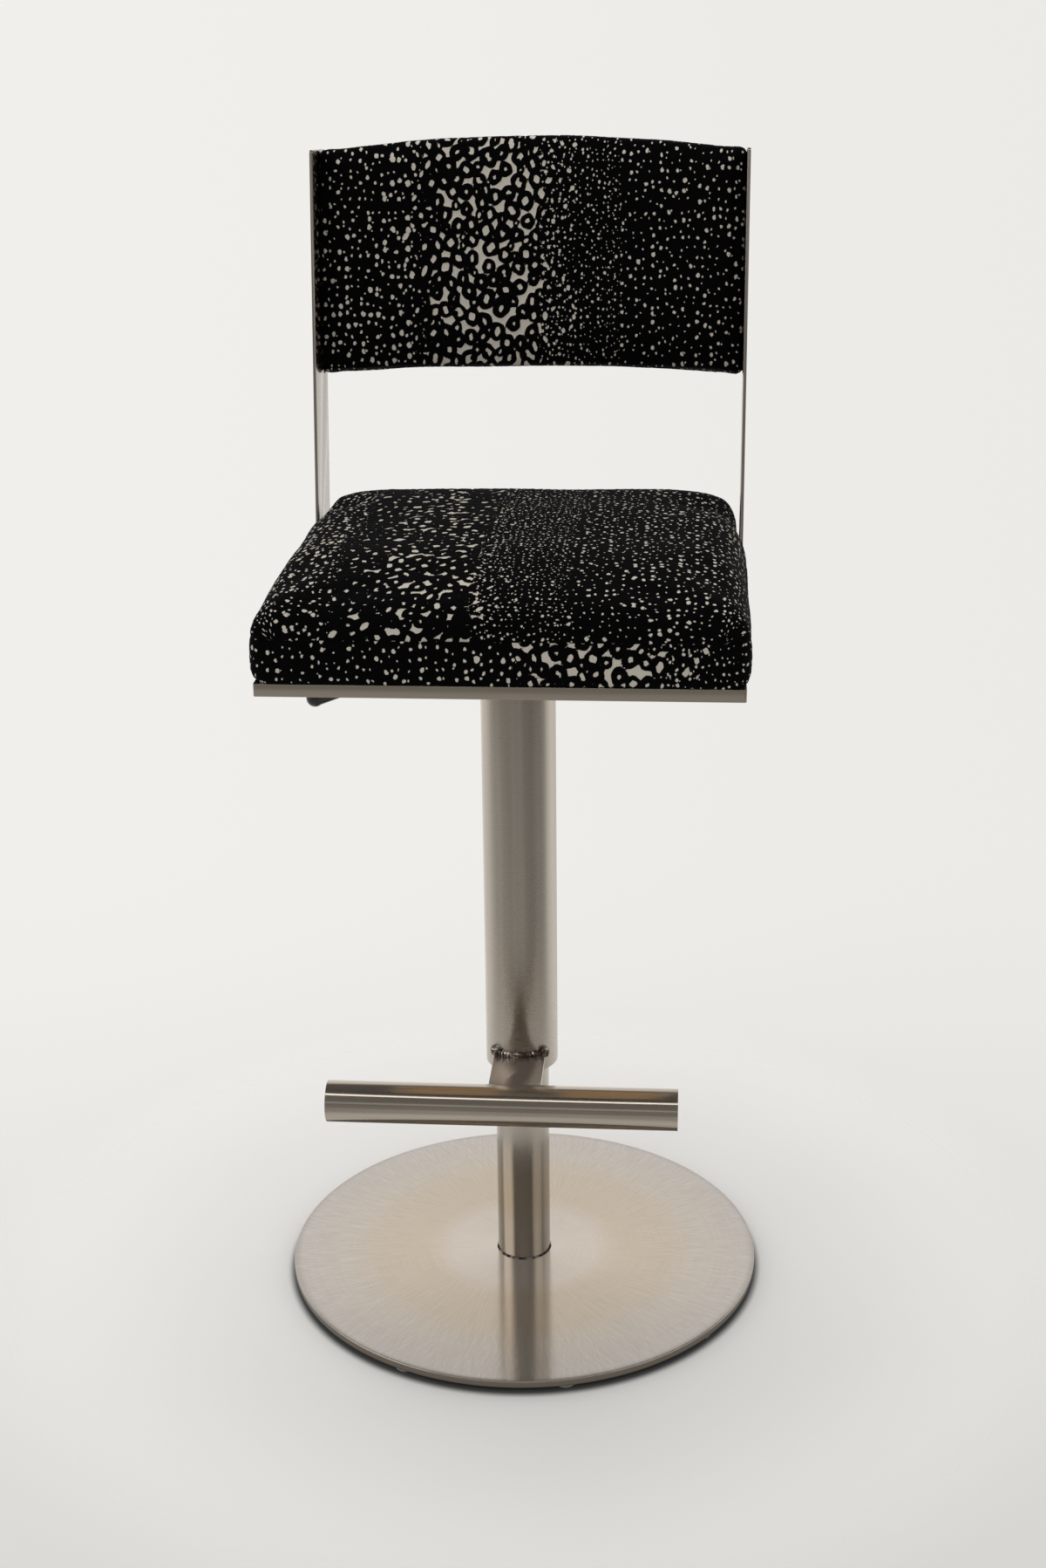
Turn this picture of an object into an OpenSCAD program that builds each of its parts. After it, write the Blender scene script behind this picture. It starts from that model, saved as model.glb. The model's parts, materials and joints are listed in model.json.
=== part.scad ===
// Swivelling bar stool on a gas spring, with a footrest that rides on the seat tube.
// Origin: column axis, at the underside of the base disc. The sitter faces -Y.
// Everything is drawn with the seat raised.

/* [Base] */
// Diameter of the base disc
base_d = 508; // [440:4:600]
// Thickness of the base disc
base_t = 8; // [6:0.5:12]
// Rounding of the disc's edges
base_edge_r = 1.2; // [0.5:0.1:2]
// Number of glides under the disc
glide_count = 9; // [3:1:12]
// Diameter of a glide
glide_d = 24; // [14:1:30]
// Height of a glide's clear dome
glide_h = 4.5; // [3:0.5:8]
// Thickness of the black disc that holds a glide
glide_disc_t = 1.5; // [1:0.1:3]
// Distance from the disc's rim to a glide's rim
glide_inset = 2; // [1:0.5:20]
// Turn of the first glide about the column
glide_turn = -76; // [-90:1:0]

/* [Column] */
// Outer diameter of the fixed column
column_d = 57.15; // [55:0.05:62]
// Wall of the column
column_wall = 2; // [1.5:0.1:2.2]
// Leg of the weld round the foot of the column
foot_weld = 2.5; // [1.5:0.5:5]

/* [Gas spring] */
// Travel of the seat
stroke = 200; // [120:5:200]
// Outer diameter of the stand tube
stand_d = 50; // [48:0.5:51]
// Wall of the stand tube
stand_wall = 2; // [1.5:0.1:2.5]
// Taper of the stand tube's foot, on the radius
stand_taper = 1; // [0.5:0.1:1.2]
// Length of the stand tube's tapered foot
stand_taper_h = 80; // [50:5:120]
// How far the stand tube stands out of the column
stand_out = 28; // [22:1:40]
// Distance from the socket to the guide bush with the seat fully down
stop_gap = 6; // [2:1:20]
// Length of the guide bush
bush_h = 86; // [60:2:110]
// Thickness of the guide bush's flange
bush_flange = 4; // [2:0.5:5]
// Outer diameter of the pressure tube
tube_d = 28; // [26:0.5:30]
// Wall of the pressure tube
tube_wall = 2; // [1.8:0.1:2.5]
// Taper of the pressure tube's head, on the radius
tube_taper = 0.8; // [0.4:0.1:1]
// Diameter of the piston rod
rod_d = 10; // [9:0.5:12]
// Diameter of the rod's foot, below its shoulder
rod_foot_d = 8; // [6:0.5:8.5]
// Height of the piston
piston_h = 12; // [8:1:20]
// Length of the rod guide in the pressure tube
rod_guide_h = 18; // [12:1:30]
// Diameter of the thrust bearing's balls
ball_d = 4; // [3:0.5:5]
// Number of balls
ball_count = 10; // [6:1:10]
// Thickness of a bearing washer
race_t = 2; // [1.5:0.5:3]
// Thickness of the plate that carries the bearing
bearing_plate_t = 4; // [3:0.5:6]
// Height of the rubber buffer
buffer_h = 12; // [6:1:20]
// Diameter of the release pin
pin_d = 6; // [4:0.5:8]
// How far the release pin stands out of the pressure tube
pin_out = 6; // [5:0.5:8]

/* [Seat tube] */
// Outer diameter of the seat tube
sleeve_d = 76.2; // [72:0.1:84]
// Wall of the seat tube
sleeve_wall = 2.4; // [1.5:0.1:3]
// Height of the seat tube's lower end above the disc
sleeve_low = 233; // [220:1:300]
// Length of the socket that takes the gas spring
hub_h = 46; // [36:1:56]
// Outer diameter of the socket
hub_d = 40; // [36:1:50]
// Thickness of the socket's flange
hub_flange = 6; // [4:0.5:10]
// Room for the lever between the flange and the strap
lever_room = 38; // [30:1:50]
// Leg of the weld between seat tube and strap
sleeve_weld_leg = 3; // [2:0.5:5]

/* [Footrest] */
// Diameter of the footrest tube
foot_d = 42.2; // [30:0.2:50]
// Wall of the footrest tube
foot_wall = 2; // [1.5:0.1:3]
// Length of the footrest tube
foot_len = 355.6; // [260:0.4:440]
// Distance from the column axis to the footrest tube's axis
foot_reach = 141.5; // [110:0.5:180]
// How far the footrest tube sits off centre, to the sitter's right
foot_shift = 10; // [0:1:30]
// Width of the footrest bracket
bracket_w = 54; // [30:1:60]
// Thickness of the footrest bracket
bracket_t = 6; // [4:0.5:10]
// Height of the bracket's top above the seat tube's lower end
bracket_up = 20; // [10:1:60]
// Leg of the weld beads on the bracket
bracket_weld_leg = 4; // [2:0.5:6]
// Thickness of the footrest's end discs
foot_cap_t = 3; // [2:0.5:6]

/* [Seat frame] */
// Height of the frame's top above the disc's underside
seat_z = 728; // [716:1:760]
// Width of the seat frame
frame_w = 447; // [400:1:480]
// Depth of the seat frame
frame_d = 458; // [420:1:500]
// Side of the frame's square bar
frame_bar = 12; // [10:0.5:16]
// Rounding of the frame's outer corners
frame_corner_r = 2; // [1:0.5:3]
// Width of the strap that carries the seat tube
strap_w = 100; // [90:1:140]
// Thickness of the strap
strap_t = 6; // [4:0.5:8]
// Diameter of the strap's service hole
strap_hole_d = 40; // [20:1:60]
// Diameter of the wood screws under the seat
seat_screw_d = 4; // [3:0.5:5]
// Depth of the wood screws in the board
seat_screw_bite = 9; // [5:0.5:10]
// Height of a wood screw's head
seat_screw_head_h = 2.5; // [1.5:0.5:4]
// Distance between the strap's screws, across the strap
strap_screw_x = 70; // [60:2:84]
// Distance between the strap's screws, along the strap
strap_screw_y = 300; // [160:10:360]
// Leg of the triangular tabs in the frame's corners
tab_leg = 48; // [36:1:70]
// Thickness of the tabs
tab_t = 4; // [3:0.5:6]

/* [Seat cushion] */
// Thickness of the seat board
board_t = 12; // [10:0.5:18]
// Distance from the frame's edge to the board's edge
board_inset = 8; // [6:0.5:14]
// Corner radius of the board
board_r = 20; // [10:1:40]
// Height of the cushion's sewn band, up to the seam
band_h = 42; // [30:1:60]
// Height of the top's round shoulder over the seam
shoulder_h = 44; // [20:1:50]
// Width of that shoulder
shoulder_w = 28; // [20:1:60]
// Rise of the top's middle over the shoulder
seat_crown = 5; // [0:1:15]
// How far the cushion stands over the frame at the sides
cushion_side = 7; // [0:0.5:10]
// How far the cushion stands over the frame in front
cushion_front = 8; // [0:0.5:12]
// How far the cushion stops short of the frame's rear
cushion_rear = 2; // [0:0.5:8]
// How far the cushion's lower edge is drawn in
band_tuck = 6; // [1:0.5:8]
// How far the seam is drawn in
seam_tuck = 1; // [0:0.5:3]
// Corner radius of the cushion
cushion_r = 18; // [12:1:40]
// Length over which the cushion's sides are drawn in between the posts
draw_in_len = 60; // [30:5:120]
// Distance in front of the posts where that ends
draw_in_end = 20; // [5:5:60]

/* [Back] */
// Thickness of a back post
post_t = 3.2; // [2.5:0.1:5]
// Width of a back post, front to back
post_w = 76.2; // [60:0.1:90]
// Distance from the frame's rear to the posts' rear edge
post_in = 4; // [3:0.5:12]
// Height of the posts above the frame's top
post_h = 437; // [380:1:480]
// Lean of the back
post_lean = 8.5; // [4:0.5:12]
// Rounding of a post's top corners
post_r = 4; // [1:0.5:8]
// Fall of a post's top from its front to its rear
post_top_fall = 4; // [0:1:12]
// Leg of the weld beads at a post's foot
post_weld = 2; // [1:0.5:3]
// Height of the pad
back_h = 232; // [180:1:260]
// Distance from the posts' tops down to the pad's top, at its ends
back_drop = 4; // [0:1:12]
// Distance of the pad's front behind the posts' front edges, at its ends
back_setback = 43; // [38:1:46]
// Radius of the pad's curve, at the panel's middle
back_curve_r = 577; // [500:1:900]
// Thickness of the curved plywood panel
panel_t = 15; // [12:0.5:18]
// Distance from the pad's edge to the panel's edge
panel_inset = 14; // [10:1:20]
// Padding in front of the panel, at the edge
pad_front_edge = 10; // [5:0.5:14]
// Padding in front of the panel, at the middle
pad_front_mid = 24; // [12:1:30]
// Padding behind the panel, at the edge
pad_rear_edge = 5; // [3:0.5:8]
// Padding behind the panel, at the middle
pad_rear_mid = 9; // [5:0.5:20]
// Rise of the pad's top edge at its middle
back_arch = 12; // [0:1:20]
// Corner radius of the pad
back_r = 5; // [4:1:30]
// Diameter of the back screws
back_screw_d = 5; // [4:0.5:6]
// Head diameter of the back screws
back_screw_head_d = 10; // [8:0.5:12]
// How far the back screws reach into the panel
back_screw_bite = 18; // [12:1:20]
// Distance between the two back screws on a side
back_screw_gap = 110; // [60:2:140]

/* [Lever] */
// Distance from the column axis to the lever's pivot
pivot_x = 22; // [20:0.5:24]
// Height of the pivot above the socket's flange
pivot_up = 13; // [12:0.5:15]
// Diameter of the pivot pin
pivot_d = 5; // [4:0.5:6]
// Diameter of the lever rod
lever_d = 7; // [5:0.5:8]
// Width of the lever's boss
lever_w = 8; // [6:0.5:9]
// Fall of the lever rod below the level
lever_fall = 16.5; // [10:0.5:18]
// Distance from the column axis to the end of the grip, along X
lever_reach = 216; // [150:1:225]
// Length of the grip
grip_len = 48; // [30:1:80]
// Diameter of the grip's knob
grip_d = 18; // [12:0.5:24]
// Diameter of the grip's neck
grip_neck_d = 11; // [10:0.5:14]
// Thickness of a bracket ear
ear_t = 3; // [2:0.5:4]

/* [Fits] */
// Clearance on the radius between pieces that fit or run in each other
fit = 0.05; // [0.02:0.01:0.1]
// Clearance between pieces that lie side by side
gap = 0.3; // [0.2:0.05:0.5]

/* [Hidden] */
$fn = 96;
eps = 0.01;

column_in = column_d / 2 - column_wall;
stand_in = stand_d / 2 - stand_wall;
tube_in = tube_d / 2 - tube_wall;
sleeve_in = sleeve_d / 2 - sleeve_wall;

frame_low = seat_z - frame_bar;
strap_z = seat_z - strap_t;
hub_top = strap_z - lever_room;
hub_low = hub_top - hub_h;
stand_top = hub_low - stroke - stop_gap - bush_flange;
column_top = stand_top - stand_out;
bush_low = stand_top - bush_h;
tube_low = bush_low - rod_guide_h / 3;
tube_top = hub_top + 2;
pin_top = tube_top + pin_out;
sleeve_z = base_t + sleeve_low;
collar_h = 20;
collar_lip = 2;

rod_low = base_t + 2;
clip_t = 1.5;
clip_z = rod_low + 1.5;
plate_z = clip_z + clip_t + 3;
lower_race_z = plate_z + bearing_plate_t;
ball_z = lower_race_z + race_t + ball_d / 2;
upper_race_z = lower_race_z + race_t + ball_d;
shoulder_z = upper_race_z + race_t;
race_r = 13;
ball_pitch_r = 9;
piston_z = tube_low + rod_guide_h + 6;
rod_top = piston_z + piston_h + 6;
piston_groove = 3;

bracket_z = sleeve_z + bracket_up - bracket_t;
foot_z = bracket_z + bracket_t / 2;
outer_x = frame_w / 2 + post_t;
post_rear_y = frame_d / 2 - post_in;
post_front_y = post_rear_y - post_w;
lean_tan = tan(post_lean);
board_w = frame_w - 2 * board_inset;
board_d = frame_d - 2 * board_inset;
board_z = seat_z + gap;
seam_z = board_z + band_h;

lever_z = hub_top + pivot_up;
slot_low = hub_top + 1.5;
slot_top = lever_z + lever_d;
slot_w = lever_w + 6;
tongue_t = 4;
tongue_z = pin_top + gap;
lever_len = (lever_reach - pivot_x) / cos(lever_fall);
rod_in_grip = 30;

steel = "#b3aca4";
dark_steel = "#6d6964";
weld_grey = "#77726c";
chrome = "#d8d8da";
nylon = "#202022";
black_plastic = "#161616";
clear = "#d9d8d2";
fabric = "#1d1b1b";
wood = "#c7a878";

// Shapes used by several pieces

// A hollow cylinder standing at z
module pipe(r_out, r_in, h, z) {
    translate([0, 0, z]) difference() {
        cylinder(h = h, r = r_out);
        translate([0, 0, -1]) cylinder(h = h + 2, r = r_in);
    }
}

// A rectangle with round corners, centred
module round_rect(w, d, r) {
    square([w - 2 * r, d], center = true);
    square([w, d - 2 * r], center = true);
    for (sx = [-1, 1], sy = [-1, 1]) translate([sx * (w / 2 - r), sy * (d / 2 - r)]) circle(r = r);
}

// A ring of triangular section round the Z axis: a leg out from r, a leg up from z
module fillet_ring(r, z, leg_r, leg_z) {
    rotate_extrude() polygon([[r, z], [r + leg_r, z], [r, z + leg_z]]);
}

// Places its children at each glide
module at_glides() {
    for (i = [0 : glide_count - 1]) rotate([0, 0, glide_turn + i * 360 / glide_count])
        translate([base_d / 2 - glide_inset - glide_d / 2, 0, 0]) children();
}

// Base

module base_plate() {
    color(steel) rotate_extrude() {
        square([base_d / 2 - base_edge_r, base_t]);
        translate([0, base_edge_r]) square([base_d / 2, base_t - 2 * base_edge_r]);
        for (z = [base_edge_r, base_t - base_edge_r])
            intersection() {
                translate([base_d / 2 - base_edge_r, z]) circle(r = base_edge_r);
                square([base_d, base_t]);
            }
    }
}

module glide_discs() {
    color(black_plastic) at_glides() translate([0, 0, -glide_disc_t])
        cylinder(h = glide_disc_t, d = glide_d - 1);
}

// Clear domes with a flat foot
module glides() {
    color(clear) at_glides() translate([0, 0, -glide_disc_t - glide_h]) rotate_extrude()
        polygon([[0, 0], [glide_d * 0.36, 0], [glide_d * 0.45, glide_h * 0.3],
                 [glide_d / 2, glide_h * 0.75], [glide_d / 2, glide_h], [0, glide_h]]);
}

// Column

module base_column() {
    color(dark_steel) pipe(column_d / 2, column_in, column_top - base_t, base_t);
}

module column_weld() {
    color(weld_grey) fillet_ring(column_d / 2, base_t, foot_weld, foot_weld * 0.6);
}

// Ring in the column's foot with the tapered seat of the stand tube
module cylinder_seat() {
    seat_h = stand_taper_h * 0.7;
    color(dark_steel) difference() {
        translate([0, 0, base_t]) cylinder(h = seat_h, r = column_in - fit);
        translate([0, 0, base_t]) cylinder(h = stand_taper_h,
            r1 = stand_d / 2 - stand_taper + fit, r2 = stand_d / 2 + fit);
    }
}

module stand_tube() {
    color(dark_steel) difference() {
        union() {
            translate([0, 0, base_t])
                cylinder(h = stand_taper_h, r1 = stand_d / 2 - stand_taper, r2 = stand_d / 2);
            translate([0, 0, base_t + stand_taper_h])
                cylinder(h = stand_top - base_t - stand_taper_h, d = stand_d);
        }
        translate([0, 0, base_t - 1]) cylinder(h = stand_top, r = stand_in);
    }
}

// Nylon collar that centres the stand tube in the column's top
module column_collar() {
    color(nylon) {
        pipe(column_in - fit, stand_d / 2 + fit, collar_h + eps, column_top - collar_h);
        pipe(column_d / 2 - 1, stand_d / 2 + fit, collar_lip, column_top);
    }
}

module guide_bush() {
    color(nylon) {
        pipe(stand_in - fit, tube_d / 2 + fit, bush_h + eps, bush_low);
        pipe(stand_d / 2, tube_d / 2 + fit, bush_flange, stand_top);
    }
}

// Thrust bearing at the foot of the stand tube

module bearing_plate() {
    color(dark_steel) pipe(stand_in - fit, rod_foot_d / 2 + fit, bearing_plate_t, plate_z);
}

module lower_race() {
    color(chrome) pipe(race_r, rod_foot_d / 2 + fit, race_t, lower_race_z);
}

module ball_cage() {
    cage_t = ball_d * 0.4;
    color(nylon) difference() {
        pipe(race_r - 1, rod_foot_d / 2 + fit, cage_t, ball_z - cage_t / 2);
        for (i = [0 : ball_count - 1]) rotate([0, 0, i * 360 / ball_count])
            translate([ball_pitch_r, 0, ball_z - ball_d]) cylinder(h = 2 * ball_d, r = ball_d / 2 + fit);
    }
}

module bearing_balls() {
    color(chrome) for (i = [0 : ball_count - 1]) rotate([0, 0, i * 360 / ball_count])
        translate([ball_pitch_r, 0, ball_z]) sphere(d = ball_d - 2 * fit);
}

module upper_race() {
    color(chrome) pipe(race_r, rod_foot_d / 2 + fit, race_t, upper_race_z);
}

module rod_buffer() {
    color(black_plastic) pipe(race_r, rod_d / 2 + fit, buffer_h, shoulder_z);
}

// Retaining ring in the rod's groove, under the bearing plate
module rod_clip() {
    color(dark_steel) pipe(rod_foot_d / 2 + 3, rod_foot_d / 2 - 1 + fit, clip_t, clip_z);
}

module piston_rod() {
    color(chrome) difference() {
        union() {
            translate([0, 0, rod_low]) cylinder(h = shoulder_z - rod_low, d = rod_foot_d);
            translate([0, 0, shoulder_z]) cylinder(h = rod_top - shoulder_z, d = rod_d);
        }
        pipe(rod_d, rod_foot_d / 2 - 1, clip_t + 2 * fit, clip_z - fit);
    }
}

module piston() {
    color(dark_steel) difference() {
        pipe(tube_in - fit, rod_d / 2 + fit, piston_h, piston_z);
        pipe(tube_d, tube_in - 2, piston_groove, piston_z + (piston_h - piston_groove) / 2);
    }
}

module piston_ring() {
    color(black_plastic) pipe(tube_in - fit, tube_in - 2 + fit, piston_groove - 2 * fit,
        piston_z + (piston_h - piston_groove) / 2 + fit);
}

// Pressure tube and what it holds

module pressure_tube() {
    color(chrome) difference() {
        union() {
            translate([0, 0, tube_low]) cylinder(h = hub_low - tube_low, d = tube_d);
            translate([0, 0, hub_low])
                cylinder(h = tube_top - hub_low, r1 = tube_d / 2, r2 = tube_d / 2 - tube_taper);
        }
        translate([0, 0, tube_low - 1]) cylinder(h = tube_top - tube_low + 2, r = tube_in);
    }
}

module rod_guide() {
    color(black_plastic) pipe(tube_in - fit, rod_d / 2 + fit, rod_guide_h, tube_low);
}

module valve_body() {
    color(dark_steel) pipe(tube_in - fit, pin_d / 2 + fit, hub_h, tube_top - hub_h);
}

module release_pin() {
    color(chrome) translate([0, 0, tube_top - hub_h * 0.8]) cylinder(h = hub_h * 0.8 + pin_out, d = pin_d);
}

// Socket in the seat tube that takes the pressure tube's taper
module taper_socket() {
    color(dark_steel) difference() {
        union() {
            translate([0, 0, hub_low]) cylinder(h = hub_h - hub_flange + eps, d = hub_d);
            translate([0, 0, hub_top - hub_flange]) cylinder(h = hub_flange, r = sleeve_in - fit);
        }
        translate([0, 0, hub_low]) cylinder(h = tube_top - hub_low,
            r1 = tube_d / 2 + fit, r2 = tube_d / 2 - tube_taper + fit);
    }
}

// Seat tube, with the lever's slot near its top
module seat_tube() {
    color(steel) difference() {
        pipe(sleeve_d / 2, sleeve_in, strap_z - sleeve_z, sleeve_z);
        translate([-sleeve_d, -slot_w / 2, slot_low]) cube([sleeve_d, slot_w, slot_top - slot_low]);
    }
}

module seat_tube_weld() {
    color(weld_grey) translate([0, 0, strap_z]) mirror([0, 0, 1])
        fillet_ring(sleeve_d / 2, 0, sleeve_weld_leg, sleeve_weld_leg);
}

// Seat frame: four mitred bars, a strap and corner tabs

inner_x = frame_w / 2 - frame_bar;
inner_y = frame_d / 2 - frame_bar;
strap_screws = [for (x = [-1, 1], y = [-1, 1]) [x * strap_screw_x / 2, y * strap_screw_y / 2]];
tab_screws = [for (x = [-1, 1], y = [-1, 1]) [x * (inner_x - tab_leg / 3), y * (inner_y - tab_leg / 3)]];

// Pan-head wood screws, driven up through a plate of thickness t into the board
module seat_screws(places, t, extra) {
    for (p = places) translate([p[0], p[1], seat_z - t]) {
        translate([0, 0, -seat_screw_head_h]) cylinder(h = seat_screw_head_h, d = 2 * seat_screw_d);
        translate([0, 0, -eps])
            cylinder(h = t + gap + seat_screw_bite + extra, d = seat_screw_d + 2 * extra);
    }
}

module seat_strap() {
    color(dark_steel) difference() {
        translate([-strap_w / 2, -inner_y, strap_z]) cube([strap_w, 2 * inner_y, strap_t]);
        translate([0, 0, strap_z - 1]) cylinder(h = strap_t + 2, d = strap_hole_d);
        seat_screws(strap_screws, strap_t, fit);
    }
}

module corner_tabs() {
    color(dark_steel) difference() {
        for (x = [-1, 1], y = [-1, 1]) translate([0, 0, seat_z - tab_t]) linear_extrude(tab_t)
            polygon([[x * inner_x, y * inner_y], [x * (inner_x - tab_leg), y * inner_y],
                     [x * inner_x, y * (inner_y - tab_leg)]]);
        seat_screws(tab_screws, tab_t, fit);
    }
}

// A mitred bar along X, its outer side at y = -d / 2
module frame_bar_along_x(w, d) {
    translate([0, 0, frame_low]) linear_extrude(frame_bar) intersection() {
        round_rect(w, d, frame_corner_r);
        polygon([[-w / 2, -d / 2], [w / 2, -d / 2],
                 [w / 2 - frame_bar, -d / 2 + frame_bar], [-w / 2 + frame_bar, -d / 2 + frame_bar]]);
    }
}

module frame_front_bar() { color(steel) frame_bar_along_x(frame_w, frame_d); }
module frame_rear_bar() { color(steel) rotate([0, 0, 180]) frame_bar_along_x(frame_w, frame_d); }
module frame_right_bar() { color(steel) rotate([0, 0, -90]) frame_bar_along_x(frame_d, frame_w); }
module frame_left_bar() { color(steel) rotate([0, 0, 90]) frame_bar_along_x(frame_d, frame_w); }

module board_screws() {
    color(dark_steel) {
        seat_screws(strap_screws, strap_t, 0);
        seat_screws(tab_screws, tab_t, 0);
    }
}

module seat_board() {
    color(wood) difference() {
        translate([0, 0, board_z]) linear_extrude(board_t) round_rect(board_w, board_d, board_r);
        seat_screws(strap_screws, strap_t, fit);
        seat_screws(tab_screws, tab_t, fit);
    }
}

// Padded forms: rings of points joined into a closed skin

arc_steps = 4;
side_steps = 8;
ring_n = 4 * (arc_steps + side_steps);

// One corner of a rounded rectangle and the side that follows it, going round from angle a0
function corner(a, b, r, a0) =
    let (sx = (a0 == 0 || a0 == 270) ? 1 : -1, sy = a0 < 180 ? 1 : -1,
         nx = (a0 == 0 || a0 == 90) ? -1 : 1, ny = (a0 == 90 || a0 == 180) ? -1 : 1,
         arc = [for (i = [0 : arc_steps]) let (t = a0 + 90 * i / arc_steps)
             [sx * (a - r) + r * cos(t), sy * (b - r) + r * sin(t)]],
         from = arc[arc_steps],
         to = (a0 == 0 || a0 == 180) ? [nx * (a - r), from[1]] : [from[0], ny * (b - r)])
    concat(arc, [for (i = [1 : side_steps - 1]) from + (to - from) * i / side_steps]);

// Rounded rectangle of half sizes a and b
function outline(a, b, r) = [for (a0 = [0, 90, 180, 270], p = corner(a, b, r, a0)) p];

// Triangles of a skin of k rings, with a point at each end
function skin_faces(k) = concat(
    [for (i = [0 : ring_n - 1]) [k * ring_n, (i + 1) % ring_n, i]],
    [for (j = [0 : k - 2], i = [0 : ring_n - 1]) let (n = (i + 1) % ring_n, a = j * ring_n, b = a + ring_n)
        each [[a + i, a + n, b + n], [a + i, b + n, b + i]]],
    [for (i = [0 : ring_n - 1]) let (a = (k - 1) * ring_n) [a + i, a + (i + 1) % ring_n, k * ring_n + 1]]);

// Height of a dome of height c at the share s of its half width
function dome(s, c) = c * pow(1 - pow(s, 4), 1 / 3);
dome_steps = [0.985, 0.955, 0.91, 0.85, 0.76, 0.64, 0.48, 0.28, 0.1];

// Corner radius at the share s: the corner's own at the edge, a full round at the middle
function dome_r(a, r, s) = s * (r + (a - r) * (1 - s));

// Seat cushion

cushion_a = frame_w / 2 + cushion_side;
cushion_b = (frame_d + cushion_front - cushion_rear) / 2;
cushion_mid_y = -(cushion_front + cushion_rear) / 2;
between_posts = (frame_w / 2 - gap - 0.5) / cushion_a;

// Draws the cushion in where it passes between the posts
function seat_plan(x, y) =
    let (u = min(1, max(0, (y - post_front_y + draw_in_end) / draw_in_len + 1)))
    [x * (1 + (between_posts - 1) * u * u * (3 - 2 * u)), y];

// One ring of the cushion: drawn in by inset, at the height z, at the share s of its outline
function seat_ring(inset, z, s = 1) =
    let (a = cushion_a - inset, b = cushion_b - inset)
    [for (p = outline(a * s, b * s, dome_r(a, cushion_r, s)))
        let (q = seat_plan(p[0], p[1] + cushion_mid_y)) [q[0], q[1], z]];

// Height of the top over the seam at the share s: a round shoulder, then a slight crown
function seat_top(s) =
    let (u = max(0, 1 - (1 - s) / shoulder_share))
    shoulder_h * sqrt(1 - u * u) + seat_crown * (1 - s * s);
shoulder_share = shoulder_w / cushion_a;
seat_steps = concat([for (k = [0.02, 0.08, 0.18, 0.32, 0.5, 0.72, 1]) 1 - k * shoulder_share],
    [for (k = [0.85, 0.6, 0.35, 0.12]) k * (1 - shoulder_share)]);

// The pocket that the board lies in
function board_ring(z) = [for (p = outline(board_w / 2 + gap, board_d / 2 + gap, board_r)) [p[0], p[1], z]];

module seat_cushion() {
    pocket_z = board_z + board_t + gap;
    rings = concat(
        [board_ring(pocket_z), board_ring(board_z)],
        [for (t = [[band_tuck, 0], [band_tuck * 0.55, 0.12], [band_tuck * 0.25, 0.3], [0, 0.6],
                   [seam_tuck * 0.3, 0.88], [seam_tuck, 1]])
            seat_ring(t[0], board_z + t[1] * band_h)],
        [for (s = seat_steps) seat_ring(seam_tuck * s, seam_z + seat_top(s), s)]);
    points = concat([for (r = rings, p = r) p], [[0, 0, pocket_z], [0, cushion_mid_y, seam_z + seat_top(0)]]);
    color(fabric) polyhedron(points, skin_faces(len(rings)));
}

// Back posts

post_top = frame_bar + post_h;
post_top_rear = post_top - post_top_fall;

// A corner p rounded towards its neighbours a and b
function rounded(p, a, b, r) =
    let (u = (a - p) / norm(a - p), v = (b - p) / norm(b - p))
    [for (t = [0 : 1 / 6 : 1]) pow(1 - t, 2) * (p + r * u) + 2 * t * (1 - t) * p + t * t * (p + r * v)];

// Side view of a post: Y to the right, Z up
module post_outline() {
    foot_front = [post_front_y, 0];
    foot_rear = [post_rear_y, 0];
    top_front = [post_front_y + post_top * lean_tan, post_top];
    top_rear = [post_rear_y + post_top_rear * lean_tan, post_top_rear];
    polygon(concat([foot_rear, foot_front], rounded(top_front, foot_front, top_rear, post_r),
        rounded(top_rear, top_front, foot_rear, post_r)));
}

// A flat plate in the plane X = x, drawn with Y to the right and Z up
module side_plate(x, t) {
    translate([x, 0, frame_low]) rotate([90, 0, 90]) linear_extrude(t) children();
}

module post(side) {
    difference() {
        side_plate(side > 0 ? frame_w / 2 : -outer_x, post_t) post_outline();
        back_screw_pair(side, fit);
    }
}

// The sitter's right is -X
module right_post() { color(steel) post(-1); }
module left_post() { color(steel) post(1); }

// Beads up the front and the rear edge of each post, on the frame's side bar
module post_welds() {
    rise = frame_bar * lean_tan;
    color(weld_grey) for (x = [frame_w / 2, -frame_w / 2 - post_weld]) side_plate(x, post_weld)
        for (y = [post_front_y - post_weld, post_rear_y])
            polygon([[y, 0], [y + post_weld, 0], [y + post_weld + rise, frame_bar], [y + rise, frame_bar]]);
}

// Back pad, drawn upright about its own middle and then leaned

back_a = frame_w / 2 - gap;
panel_y = back_setback + pad_front_edge + panel_t / 2;
back_mid_z = post_top - back_drop - back_h / 2 * cos(post_lean) + panel_y * sin(post_lean);

// How far the curved panel's ends lie in front of its middle
function bend(x) = back_curve_r - sqrt(back_curve_r * back_curve_r - x * x);

// Places the frame of the pad's ends: Y from the posts' front edges, Z up the lean from the pad's middle
module on_posts() {
    translate([0, post_front_y + back_mid_z * lean_tan, frame_low + back_mid_z])
        rotate([-post_lean, 0, 0]) children();
}

// Places the pad's own frame: Y behind the panel's middle at x = 0
module on_back() {
    on_posts() translate([0, panel_y + bend(back_a), 0]) children();
}

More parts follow.
